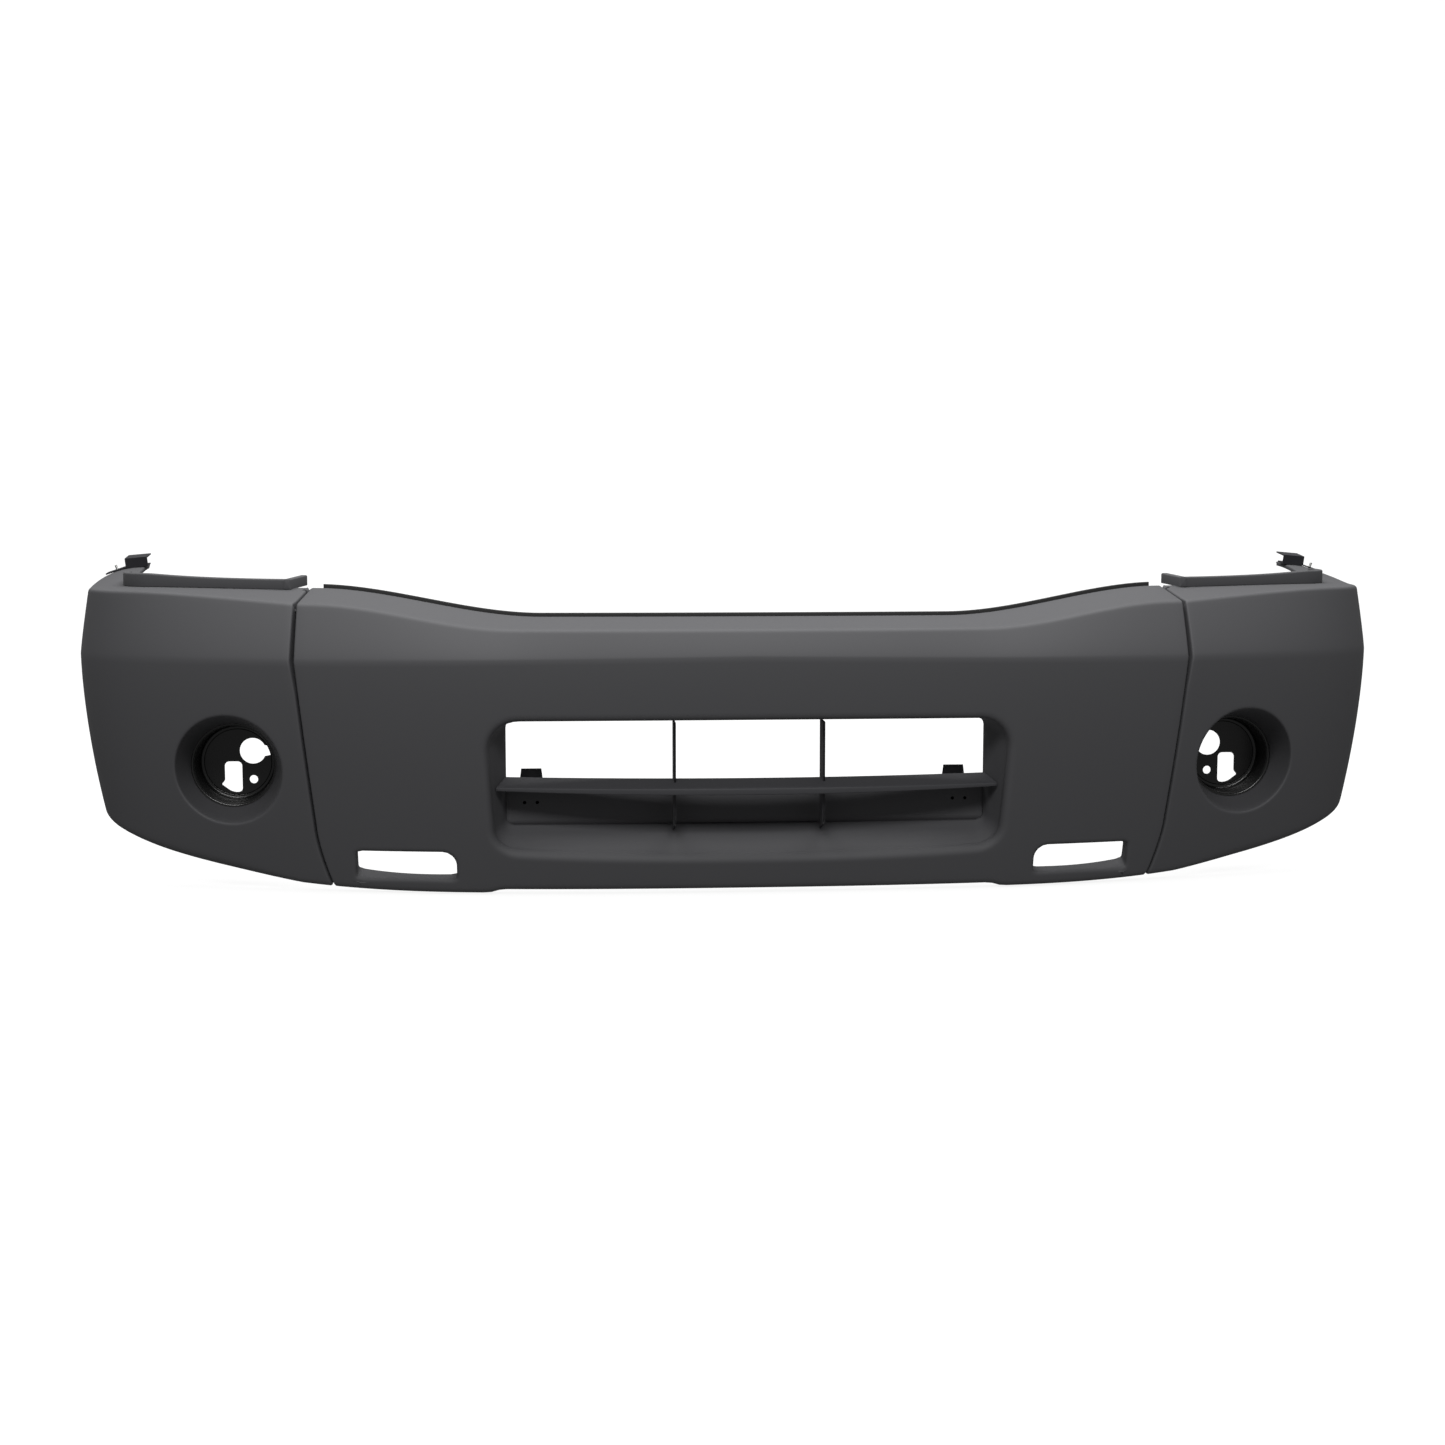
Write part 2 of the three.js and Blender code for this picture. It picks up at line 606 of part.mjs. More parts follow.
function centreCover() {
  const skin = solid(shell(centreGrid(), WALL, 1));
  const funnelOuter = solid(intakeLoft(-30, INTAKE_BACK, WALL));
  const funnelInner = solid(intakeLoft(-40, INTAKE_BACK + 0.01, 0));
  const inside = behindSkin(120);
  const funnel = funnelOuter.intersect(inside);
  let cover = skin.add(funnel).subtract(funnelInner).add(bulkhead());
  [-1, 1].forEach((side) => {
    const sleeve = towSleeve(side);
    cover = cover.add(sleeve.outer.intersect(behindSkin(TOW_DEPTH))).subtract(sleeve.inner);
    cover = cover.add(solid(handed(seamFlange(true), side)));
    seamBoltHoles(side).forEach((hole) => {
      cover = cover.subtract(hole);
    });
    bracketScrewPlaces(side).forEach(([x, y, z]) => {
      cover = cover.subtract(solid(moved(rod(BOLT_RADIUS + HOLE_GAP, 30), x, y, z)));
    });
  });
  cover = cover.add(upperFlange());
  pushPinHoles(PIN_SHANK + HOLE_GAP).forEach((hole) => {
    cover = cover.subtract(hole);
  });
  return geometryOf(cover);
}

// ---- end covers -----------------------------------------------------------------------------
const END_STATIONS = [0, 0.06, 0.12, 0.2, 0.28, 0.36, 0.44, 0.52, 0.6, 0.68, 0.76, 0.84, 0.92, 1];

function endGrid() {
  const grid = [];
  for (let row = 0; row < ROW_COUNT; row += 1) {
    const from = seamAt(row) + SEAM_GAP;
    const to = archAt(row);
    grid.push(END_STATIONS.map((f) => skinPoint(mix(from, to, f), row, 1)));
  }
  return grid;
}

// The wheel-arch edge turns inward in a narrow return.
function archReturn() {
  const grid = endGrid();
  const rings = [];
  const last = END_STATIONS.length - 1;
  const normals = inwardNormals(grid, 1);
  for (let row = 3; row < ROW_COUNT - 3; row += 1) {
    const p = new THREE.Vector3(...grid[row][last]);
    const before = new THREE.Vector3(...grid[row][last - 1]);
    const along = p.clone().sub(before).normalize();
    const n = normals[row][last];
    const corner = (a, b) => {
      const v = p.clone().addScaledVector(along, a).addScaledVector(n, b);
      return [v.x, v.y, v.z];
    };
    rings.push([corner(-WALL, 1), corner(0, 1), corner(0, 20), corner(-WALL, 20)]);
  }
  return loft(rings);
}

// A closed body of revolution; profile is [radius, height along the axis].
function lathe(profile, sides) {
  const points = profile.map(([r, h]) => new THREE.Vector2(r, h));
  const turned = new THREE.LatheGeometry(points, sides);
  turned.deleteAttribute('normal');
  turned.deleteAttribute('uv');
  const joined = mergeVertices(turned, 1e-4);
  const flat = Array.from(joined.attributes.position.array);
  const positions = steps(flat.length / 3 - 1).map((_, i) => flat.slice(3 * i, 3 * i + 3));
  const index = Array.from(joined.index.array);
  const whole = [];
  for (let i = 0; i < index.length; i += 3) {
    const [a, b, c] = index.slice(i, i + 3);
    if (a !== b && b !== c && c !== a) {
      whole.push(a, b, c);
    }
  }
  return closedGeometry(positions, whole);
}

function atPocket(geometry) {
  return geometry.translate(FOG_X, 0, FOG_Z);
}

const coneSlope = (FOG_RADIUS - FUNNEL_END_RADIUS) / (FUNNEL_BACK - 124);
const coneRadius = (y) => FUNNEL_END_RADIUS + coneSlope * (FUNNEL_BACK - y);

function behindEndSkin(depth) {
  const front = endGrid().slice(1);
  const back = front.map((line) => line.map((p) => [p[0], p[1] + depth, p[2]]));
  return solid(between(front, back));
}

function screwPlaces() {
  return FOG_SCREWS.map((angle) => {
    const a = angle * Math.PI / 180;
    return [FOG_X + SCREW_CIRCLE * Math.cos(a), FOG_Z + SCREW_CIRCLE * Math.sin(a)];
  });
}

function funnelPieces() {
  const y0 = 30;
  const mouth = [[0, y0], [coneRadius(y0) + WALL, y0]];
  const outer = lathe([...mouth, [FUNNEL_END_RADIUS + WALL, FUNNEL_BACK], [0, FUNNEL_BACK]], FOG_SIDES);
  const inner = lathe([[0, y0 - 5], [coneRadius(y0 - 5), y0 - 5], [FUNNEL_END_RADIUS, FUNNEL_BACK],
    [FUNNEL_END_RADIUS, FUNNEL_BACK + 5], [0, FUNNEL_BACK + 5]], FOG_SIDES);
  const lip = lathe([[FUNNEL_END_RADIUS, FUNNEL_BACK - WALL],
    [FUNNEL_END_RADIUS + FUNNEL_LIP, FUNNEL_BACK - WALL],
    [FUNNEL_END_RADIUS + FUNNEL_LIP, FUNNEL_BACK], [FUNNEL_END_RADIUS, FUNNEL_BACK],
    [FUNNEL_END_RADIUS, FUNNEL_BACK - WALL]], FOG_SIDES);
  return { outer: solid(atPocket(outer)), inner: solid(atPocket(inner)), lip: solid(atPocket(lip)) };
}

// A frame on the underside of the top band, at path position s and setback inward: its +Y is the
// band's normal, its +X runs inward up the band and its +Z along the vehicle.
function bandFrame(s, inward, lift, side = 1) {
  const rear = inward > sectionPoints(s)[ROW_COUNT - 2][0];
  const at = (path, within) => {
    const p = sectionPoints(path).slice(rear ? -2 : -3);
    const [[fromIn, fromZ], [toIn, toZ]] = p;
    const line = noseLine(path);
    const z = mix(fromZ, toZ, (within - fromIn) / (toIn - fromIn));
    return new THREE.Vector3(line.x + within * line.inX, line.y + within * line.inY, z);
  };
  const origin = at(s, inward);
  const across = at(s, inward + 8).sub(origin).normalize();
  const along = at(s, inward).sub(at(s - 30, inward));
  const normal = along.clone().cross(across).normalize();
  const back = across.clone().cross(normal);
  origin.addScaledVector(normal, lift);
  const frame = new THREE.Matrix4().makeBasis(across, normal, back).setPosition(origin);
  return side > 0 ? frame : new THREE.Matrix4().makeScale(-1, 1, 1).multiply(frame)
    .multiply(new THREE.Matrix4().makeScale(-1, 1, 1));
}

// The filler's section at s: its foot follows the top band.
function fillerRing(s) {
  const row = ROW_COUNT - 1;
  const p = sectionPoints(s);
  const line = noseLine(s);
  const [topIn, topZ] = p[row];
  const [midIn, midZ] = p[row - 1];
  const bandZ = (inward) => mix(midZ, topZ, (inward - midIn) / (topIn - midIn)) + FILLER_LIFT;
  const place = (inward, z) => [line.x + inward * line.inX, line.y + inward * line.inY, z];
  const front = topIn - FILLER_INSET;
  const back = front + FILLER_THICK;
  const top = FILLER_TOP + FILLER_CLIMB * smooth(line.t / 0.45);
  return [place(front, bandZ(front)), place(back, bandZ(back)), place(back, top), place(front, top)];
}

const fillerSection = (f) => SEAM_HALF + mix(FILLER_START, FILLER_END, f);

// A rail along the rear of the top band, with a block that turns back at its inner end.
function headlampFiller() {
  const rail = solid(loft(steps(14).map((f) => fillerRing(fillerSection(f)))));
  const [front, , , top] = fillerRing(fillerSection(0));
  const low = front[2];
  const block = loft([0, 1].map((f) => {
    const x = front[0] + f * FILLER_THICK;
    const inner = x - FILLER_LEAN;
    return [[x, front[1], low], [inner, front[1] + FILLER_RETURN, low + FILLER_RETURN_RISE],
      [inner, front[1] + FILLER_RETURN, top[2] + FILLER_RETURN_RISE], [x, front[1], top[2]]];
  }));
  let filler = rail.add(solid(block));
  fillerFrames(1).forEach((frame) => {
    const hole = rod(FILLER_SCREW_RADIUS + BLIND_GAP, 2 * FILLER_SCREW_LENGTH).applyMatrix4(frame);
    filler = filler.subtract(solid(hole));
  });
  return geometryOf(filler);
}

// Where the filler's screws come up through the band.
function fillerFrames(side) {
  return FILLER_SCREWS.map((f) => {
    const s = fillerSection(f);
    const inward = sectionPoints(s)[ROW_COUNT - 1][0] - FILLER_INSET + FILLER_THICK / 2;
    return bandFrame(s, inward, -WALL - HEAD_GAP, side);
  });
}

function endCover() {
  let cover = solid(shell(endGrid(), WALL, 1));
  const funnel = funnelPieces();
  cover = cover.add(funnel.outer.intersect(behindEndSkin(200))).subtract(funnel.inner).add(funnel.lip);
  cover = cover.add(solid(seamFlange(false)));
  seamBoltHoles(1).forEach((hole) => {
    cover = cover.subtract(hole);
  });
  cover = cover.add(solid(archReturn()));
  [...fillerFrames(1), ...bracketFrames(1)].forEach((frame) => {
    const hole = rod(FILLER_SCREW_RADIUS + HOLE_GAP, 16).applyMatrix4(frame);
    cover = cover.subtract(solid(hole));
  });
  screwPlaces().forEach(([x, z]) => {
    cover = cover.subtract(solid(moved(rod(BOLT_RADIUS + HOLE_GAP, 30), x, FUNNEL_BACK, z)));
  });
  return geometryOf(cover);
}

// ---- fog-lamp pocket ------------------------------------------------------------------------
function keyholeSlot() {
  const shape = new THREE.Shape();
  const w = SLOT_HALF_WIDTH;
  const h = SLOT_HALF_HEIGHT;
  shape.moveTo(-w, -h + 6);
  shape.quadraticCurveTo(0, -h - 4, w, -h + 4);
  shape.lineTo(w + 4, -h + 14);
  shape.lineTo(w, -h + 20);
  shape.lineTo(w, h - 8);
  shape.quadraticCurveTo(w, h, w - 8, h);
  shape.lineTo(-w + 8, h);
  shape.quadraticCurveTo(-w, h, -w, h - 8);
  shape.closePath();
  return shape;
}

function fogPocket() {
  const front = FUNNEL_BACK + FIT_GAP;
  const rim = FUNNEL_END_RADIUS + FUNNEL_LIP;
  const profile = [[0, CUP_BACK - CUP_WALL], [CUP_RADIUS, CUP_BACK - CUP_WALL], [CUP_RADIUS + 3, front],
    [rim, front], [rim, front + CUP_WALL], [CUP_RADIUS + CUP_WALL + 3, front + CUP_WALL],
    [CUP_RADIUS + CUP_WALL, CUP_BACK], [0, CUP_BACK]];
  let cup = solid(atPocket(lathe(profile, FOG_SIDES)));
  const lamp = rod(LAMP_HOLE_RADIUS, 30, 32).translate(FOG_X + LAMP_HOLE[0], CUP_BACK, FOG_Z + LAMP_HOLE[1]);
  const aim = rod(AIM_HOLE_RADIUS, 30, 20).translate(FOG_X + AIM_HOLE[0], CUP_BACK, FOG_Z + AIM_HOLE[1]);
  const slot = extrudedBack(keyholeSlot(), CUP_BACK - 15, CUP_BACK + 15, 4)
    .translate(FOG_X + SLOT[0], 0, FOG_Z + SLOT[1]);
  cup = cup.subtract(solid(lamp)).subtract(solid(aim)).subtract(solid(slot));
  screwPlaces().forEach(([x, z]) => {
    cup = cup.subtract(solid(moved(rod(BOLT_RADIUS + HOLE_GAP, 30), x, FUNNEL_BACK, z)));
  });
  return geometryOf(cup);
}

// ---- vane -----------------------------------------------------------------------------------
function vaneHalf(y) {
  return INTAKE_HALF - SIDE_DRAFT * (y - SIDE_DRAFT_FROM) - FIT_GAP;
}

function vaneSection(f) {
  const front = VANE_FRONT + VANE_SWEEP * f * f;
  const back = front + VANE_DEPTH;
  const endFront = VANE_FRONT + VANE_SWEEP;
  return {
    x: f * vaneHalf(endFront),
    backX: f * vaneHalf(endFront + VANE_DEPTH),
    front,
    back,
    frontZ: VANE_FRONT_HEIGHT,
    backZ: VANE_FRONT_HEIGHT + VANE_TILT,
  };
}

// A fin: an upright plate through the shelf whose foot follows the intake floor.
function fin(side) {
  const top = INTAKE_TOP - ROOF_DRAFT * FIN_BACK - FIT_GAP;
  const heel = INTAKE_BOTTOM + RAMP_SLOPE * (FIN_BACK - RAMP_FROM) + 2 * FIT_GAP;
  const x = side * FIN_X - FIN_THICK / 2;
  const outline = [[FIN_FRONT, FIN_FOOT], [FIN_BACK, heel], [FIN_BACK, top], [FIN_FRONT, top]];
  const ring = (at) => outline.map((point) => [at, ...point]);
  return loft([ring(x), ring(x + FIN_THICK)]);
}

function vane() {
  const stations = steps(16).map((f) => 2 * f - 1);
  const shelf = loft(stations.map((f) => {
    const v = vaneSection(f);
    return [[v.x, v.front, v.frontZ], [v.backX, v.back, v.backZ],
      [v.backX, v.back, v.backZ - VANE_THICK], [v.x, v.front, v.frontZ - VANE_THICK]];
  }));
  const lip = loft(stations.map((f) => {
    const v = vaneSection(f);
    const drop = mix(VANE_LIP, VANE_LIP_END, f * f);
    return [[v.x, v.front, v.frontZ], [v.x, v.front + VANE_LIP_THICK, v.frontZ],
      [v.x, v.front + VANE_LIP_THICK, v.frontZ - drop], [v.x, v.front, v.frontZ - drop]];
  }));
  const clearance = solid(intakeLoft(-40, INTAKE_BACK - FIT_GAP, -FIT_GAP));
  let body = join(solid(shelf), solid(lip), solid(fin(-1)), solid(fin(1))).intersect(clearance);
  [-1, 1].forEach((side) => {
    body = body.add(solid(tongue(side)));
    body = body.subtract(solid(rod(BOLT_RADIUS + HOLE_GAP, 20).applyMatrix4(tongueFrame(side, 0))));
  });
  return geometryOf(body);
}

// A tongue reaches from the shelf's rear edge over the closed wall to the bracket behind it.
function tongue(side) {
  const front = VANE_FRONT + VANE_SWEEP * (BRACKET_X / vaneHalf(VANE_FRONT + VANE_SWEEP)) ** 2;
  const back = front + VANE_DEPTH;
  const low = BULKHEAD_TOP + FIT_GAP;
  const slope = VANE_TILT / VANE_DEPTH;
  const shelfTop = (y) => VANE_FRONT_HEIGHT + slope * (y - front) - FIT_GAP;
  const from = back - 6;
  const section = [[from, shelfTop(from) - VANE_THICK / 2], [INTAKE_BACK - 1, low], [BRACKET_REACH - 8, low],
    [BRACKET_REACH - 8, low + VANE_THICK], [INTAKE_BACK, low + VANE_THICK], [back - 2, shelfTop(back - 2)]];
  const x = side * BRACKET_X;
  return loft([x - TONGUE_WIDTH / 2, x + TONGUE_WIDTH / 2].map((at) => section.map(([y, z]) => [at, y, z])));
}

// Where the vane's screw goes down through the tongue: its +Y points down.
function tongueFrame(side, lift) {
  const y = BRACKET_REACH - 20;
  const z = BULKHEAD_TOP + FIT_GAP + VANE_THICK + lift;
  return new THREE.Matrix4().makeRotationX(-Math.PI / 2).setPosition(side * BRACKET_X, y, z);
}

// ---- retainer strip and push pins -----------------------------------------------------------
function stripStations() {
  const half = [0, 100, 200, 290, 340, 390, 440, 490, 540, 575, STRIP_HALF];
  return [...half.slice(1).reverse().map((x) => -x), ...half];
}

function stripFrame(x) {
  const p = sectionAt(Math.abs(x));
  return { y: p.line.y + BAND_DEPTH + STRIP_CLEAR, z: p.top };
}

function retainerStrip() {
  const bottom = FIT_GAP - WALL;
  const leg = loft(stripStations().map((x) => {
    const { y, z } = stripFrame(x);
    const rear = y + STRIP_DEPTH;
    const low = z + bottom;
    return [[x, y, low], [x, rear, low], [x, rear, low + STRIP_THICK], [x, y, low + STRIP_THICK]];
  }));
  const lip = loft(stripStations().map((x) => {
    const { y, z } = stripFrame(x);
    const rear = y + STRIP_LIP_THICK;
    return [[x, y, z + bottom], [x, rear, z + bottom], [x, rear, z + STRIP_LIP], [x, y, z + STRIP_LIP]];
  }));
  let strip = solid(leg).add(solid(lip));
  pushPinHoles(PIN_SHANK + HOLE_GAP).forEach((hole) => {
    strip = strip.subtract(hole);
  });
  return geometryOf(strip);
}

const PIN_SEAT = FLANGE_TOP + FIT_GAP + STRIP_THICK + FIT_GAP;

function retainerBody() {
  const bore = PIN_STEM + BLIND_GAP;
  const recess = PIN_CAP + 2 * BLIND_GAP;
  const profile = [[bore, 1], [recess, 1], [recess, 2.6], [PIN_HEAD, 2.2], [PIN_HEAD, 0], [PIN_SHANK, 0],
    [PIN_SHANK, 5 - PIN_LENGTH], [PIN_SHANK - 1, -PIN_LENGTH], [bore, -PIN_LENGTH], [bore, 1]];
  return lathe(profile, PIN_SIDES).rotateX(Math.PI / 2);
}

function retainerPin() {
  const profile = [[0, -PIN_LENGTH + 1], [PIN_STEM, -PIN_LENGTH + 1.5], [PIN_STEM, 1.3],
    [PIN_CAP, 1.3], [PIN_CAP - 0.5, 3],
    [0, 3]];
  return lathe(profile, PIN_SIDES).rotateX(Math.PI / 2);
}

// ---- brackets, screws and nuts --------------------------------------------------------------
function vaneBracket(side) {
  const front = INTAKE_BACK + WALL + FIT_GAP;
  const width = BRACKET_WIDTH;
  const legZ = BULKHEAD_TOP;
  const footLow = BRACKET_SCREW_Z - 12;
  const foot = new THREE.BoxGeometry(width, STEEL, legZ - footLow)
    .translate(0, front + STEEL / 2, (legZ + footLow) / 2);
  const leg = new THREE.BoxGeometry(width, BRACKET_REACH - front, STEEL)
    .translate(0, (BRACKET_REACH + front) / 2, legZ - STEEL / 2);
  const shape = new THREE.Shape();
  shape.moveTo(-width / 2, legZ - STEEL);
  shape.lineTo(width / 2, legZ - STEEL);
  shape.lineTo(BRACKET_TOP_WIDTH / 2, BRACKET_TOP);
  shape.lineTo(-BRACKET_TOP_WIDTH / 2, BRACKET_TOP);
  shape.closePath();
  const tab = extrudedBack(shape, BRACKET_REACH - STEEL, BRACKET_REACH);
  let body = join(solid(foot), solid(leg), solid(tab)).translate([side * BRACKET_X, 0, 0]);
  bracketScrewPlaces(side).forEach(([x, y, z]) => {
    body = body.subtract(solid(moved(rod(BOLT_RADIUS + HOLE_GAP, 30), x, y, z)));
  });
  body = body.subtract(solid(rod(BOLT_RADIUS + BLIND_GAP, 30).applyMatrix4(tongueFrame(side, 0))));
  return geometryOf(body);
}

// A screw along +Y: its head in front of y = 0, its shank behind.
function screw(grip, radius = BOLT_RADIUS, headRadius = BOLT_HEAD) {
  const head = rod(headRadius, BOLT_HEAD_THICK, 6).translate(0, -BOLT_HEAD_THICK / 2, 0);
  const shank = rod(radius, grip + 0.5).translate(0, grip / 2 - 0.25, 0);
  return geometryOf(solid(head).add(solid(shank)));
}

function nut() {
  const body = solid(rod(BOLT_HEAD, NUT_THICK, 6));
  return geometryOf(body.subtract(solid(rod(BOLT_RADIUS + 0.3, 20, 12))));
}

// Fender bracket: a foot on the rear end of the top band, a riser and a raised plate for the wing.
function tabFrame(inward, lift, side = 1) {
  return bandFrame(archAt(ROW_COUNT - 1) - TAB_SETBACK, inward, lift, side);
}

const bracketFrames = (side) => TAB_BOLTS_IN.map((inward) => tabFrame(inward, -WALL - HEAD_GAP, side));

// The foot bends over the crown of the band, so it is two plates with one bolt in each.
function fenderBracket() {
  const feet = TAB_BOLTS_IN.map((inward) => {
    const plate = new THREE.BoxGeometry(TAB_FOOT_WIDTH, STEEL, TAB_FOOT_LENGTH).translate(0, STEEL / 2, 0);
    const hole = rod(FILLER_SCREW_RADIUS + HOLE_GAP, 10);
    return solid(plate).subtract(solid(hole));
  });
  const front = -TAB_FOOT_LENGTH / 2;
  const riser = new THREE.BoxGeometry(TAB_PLATE_WIDTH, TAB_RISE, STEEL)
    .translate(0, TAB_RISE / 2, front + STEEL / 2);
  const plate = new THREE.BoxGeometry(TAB_PLATE_WIDTH, STEEL, TAB_PLATE_LENGTH)
    .translate(0, TAB_RISE - STEEL / 2, front + TAB_PLATE_LENGTH / 2);
  const placed = (body, inward) => solid(geometryOf(body).applyMatrix4(tabFrame(inward, TAB_LIFT)));
  const inner = TAB_BOLTS_IN[1];
  return geometryOf(join(
    placed(feet[0], TAB_BOLTS_IN[0]),
    placed(feet[1], inner),
    placed(solid(riser).add(solid(plate)), inner),
  ));
}

// ---- assembly -------------------------------------------------------------------------------
const finish = {
  cover: { color: 0x3b3c3e, roughness: 0.55, metalness: 0 },
  insert: { color: 0x2b2c2e, roughness: 0.6, metalness: 0 },
  pocket: { color: 0x141516, roughness: 0.4, metalness: 0 },
  steel: { color: 0x232427, roughness: 0.5, metalness: 0.3 },
  zinc: { color: 0x9a9c9e, roughness: 0.35, metalness: 0.9 },
  clip: { color: 0x101112, roughness: 0.5, metalness: 0 },
};

const smallScrew = (length) => screw(length, FILLER_SCREW_RADIUS, 2.2 * FILLER_SCREW_RADIUS);

const bumper = new THREE.Group();
bumper.position.set(0, -PIN_Y, -(FLANGE_TOP - UPPER_FLANGE_THICK));

function add(name, geometry, look, position = [0, 0, 0], rotation = [0, 0, 0]) {
  const mesh = new THREE.Mesh(geometry, new THREE.MeshStandardMaterial(finish[look]));
  mesh.name = name;
  mesh.position.set(...position);
  mesh.rotation.set(...rotation);
  bumper.add(mesh);
  return mesh;
}

add('centre_cover', centreCover(), 'cover');
add('intake_vane', vane(), 'insert');
add('upper_retainer_strip', retainerStrip(), 'clip');

const end = endCover();
const pocket = fogPocket();
const filler = headlampFiller();
const bracket = fenderBracket();
[[-1, 'rh'], [1, 'lh']].forEach(([side, hand]) => {
  add(`end_cover_${hand}`, handed(end, side), 'cover');
  add(`fog_lamp_pocket_${hand}`, handed(pocket, side), 'pocket');
  add(`headlamp_filler_${hand}`, handed(filler, side), 'cover');
  add(`fender_bracket_${hand}`, handed(bracket, side), 'steel');
  add(`vane_bracket_${hand}`, vaneBracket(side), 'steel');
  SEAM_BOLTS.forEach((share, i) => {
    const grip = FLANGE_GAP + WALL + FIT_GAP;
    const bolt = add(`seam_bolt_${hand}_${i + 1}`, screw(2 * grip + 8), 'zinc');
    bolt.applyMatrix4(seamMatrix(share, side, -grip));
    const seamNut = add(`seam_nut_${hand}_${i + 1}`, nut(), 'zinc');
    seamNut.applyMatrix4(seamMatrix(share, side, grip + NUT_THICK / 2));
  });
  screwPlaces().forEach(([x, z], i) => {
    const y = FUNNEL_BACK + FIT_GAP + CUP_WALL + FIT_GAP;
    add(`fog_pocket_screw_${hand}_${i + 1}`, screw(9), 'zinc', [side * x, y, z], [Math.PI, 0, 0]);
  });
  fillerFrames(side).forEach((frame, i) => {
    const length = FILLER_SCREW_LENGTH - 2;
    add(`filler_screw_${hand}_${i + 1}`, smallScrew(length), 'zinc').applyMatrix4(frame);
  });
  bracketFrames(side).forEach((frame, i) => {
    const bolt = smallScrew(FILLER_SCREW_LENGTH);
    add(`fender_bracket_screw_${hand}_${i + 1}`, bolt, 'steel').applyMatrix4(frame);
  });
  bracketScrewPlaces(side).forEach(([x, , z], i) => {
    const grip = WALL + 2 * FIT_GAP + STEEL;
    const y = INTAKE_BACK + grip;
    add(`vane_bracket_screw_${hand}_${i + 1}`, screw(grip), 'zinc', [x, y, z], [Math.PI, 0, 0]);
  });
  const vaneGrip = VANE_THICK + 2 * FIT_GAP + STEEL + 4;
  add(`vane_screw_${hand}`, screw(vaneGrip), 'zinc').applyMatrix4(tongueFrame(side, FIT_GAP));
  PUSH_PIN_X.forEach((x, i) => {
    add(`retainer_body_${hand}_${i + 1}`, retainerBody(), 'clip', [side * x, PIN_Y, PIN_SEAT]);
    add(`retainer_pin_${hand}_${i + 1}`, retainerPin(), 'clip', [side * x, PIN_Y, PIN_SEAT]);
  });
});

export default bumper;
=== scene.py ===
"""Looks for a front bumper cover of a light truck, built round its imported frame.

The skins are worked out in millimetres from the lowest line of the cover (z = 0) and the
foremost line of its nose (y = 0); to_frame() moves them to the frame, whose origin is the
middle of the upper mounting flange, in metres.
"""
import json

import bmesh
import bpy
import numpy as np
from bpy.props import FloatProperty, FloatVectorProperty, PointerProperty
from mathutils import Matrix, Vector


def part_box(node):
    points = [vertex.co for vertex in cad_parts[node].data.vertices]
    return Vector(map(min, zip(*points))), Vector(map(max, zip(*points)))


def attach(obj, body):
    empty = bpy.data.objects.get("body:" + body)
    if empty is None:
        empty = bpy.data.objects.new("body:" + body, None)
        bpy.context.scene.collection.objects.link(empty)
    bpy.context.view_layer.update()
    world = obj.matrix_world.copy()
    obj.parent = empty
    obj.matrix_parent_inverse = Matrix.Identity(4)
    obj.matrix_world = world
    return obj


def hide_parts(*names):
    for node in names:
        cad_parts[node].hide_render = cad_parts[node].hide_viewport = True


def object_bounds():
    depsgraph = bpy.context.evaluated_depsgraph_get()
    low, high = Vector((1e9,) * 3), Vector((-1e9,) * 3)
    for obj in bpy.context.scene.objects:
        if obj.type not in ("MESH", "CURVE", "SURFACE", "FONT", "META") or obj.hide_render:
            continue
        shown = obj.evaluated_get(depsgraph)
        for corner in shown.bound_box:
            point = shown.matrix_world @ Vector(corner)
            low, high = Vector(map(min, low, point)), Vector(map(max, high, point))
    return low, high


bl_info = {
    "name": "Truck bumper cover",
    "version": (1, 0, 0),
    "blender": (4, 5, 0),
    "location": "3D View > Sidebar > Bumper",
    "description": "Builds a front bumper cover with its vane, lamp pockets and fasteners",
    "category": "Object",
}

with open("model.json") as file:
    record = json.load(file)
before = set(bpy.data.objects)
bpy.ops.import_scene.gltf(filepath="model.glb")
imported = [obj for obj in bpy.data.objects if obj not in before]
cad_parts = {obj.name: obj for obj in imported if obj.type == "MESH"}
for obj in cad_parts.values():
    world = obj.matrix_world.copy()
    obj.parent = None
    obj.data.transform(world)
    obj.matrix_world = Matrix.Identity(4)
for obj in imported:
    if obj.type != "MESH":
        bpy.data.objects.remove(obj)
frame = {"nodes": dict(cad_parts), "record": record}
CAD_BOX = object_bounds()

# ---- plan of the nose line ----
SEAM_HALF = 633.0
SEAM_SETBACK = 63.0
NOSE_POWER = 2.5
END_HALF = 986.0
COVER_DEPTH = 525.0
CORNER_PULL = 14.0
CORNER_REACH = 8.5
SWEEP_SLOPE = 0.261
END_LENGTH = 640.0
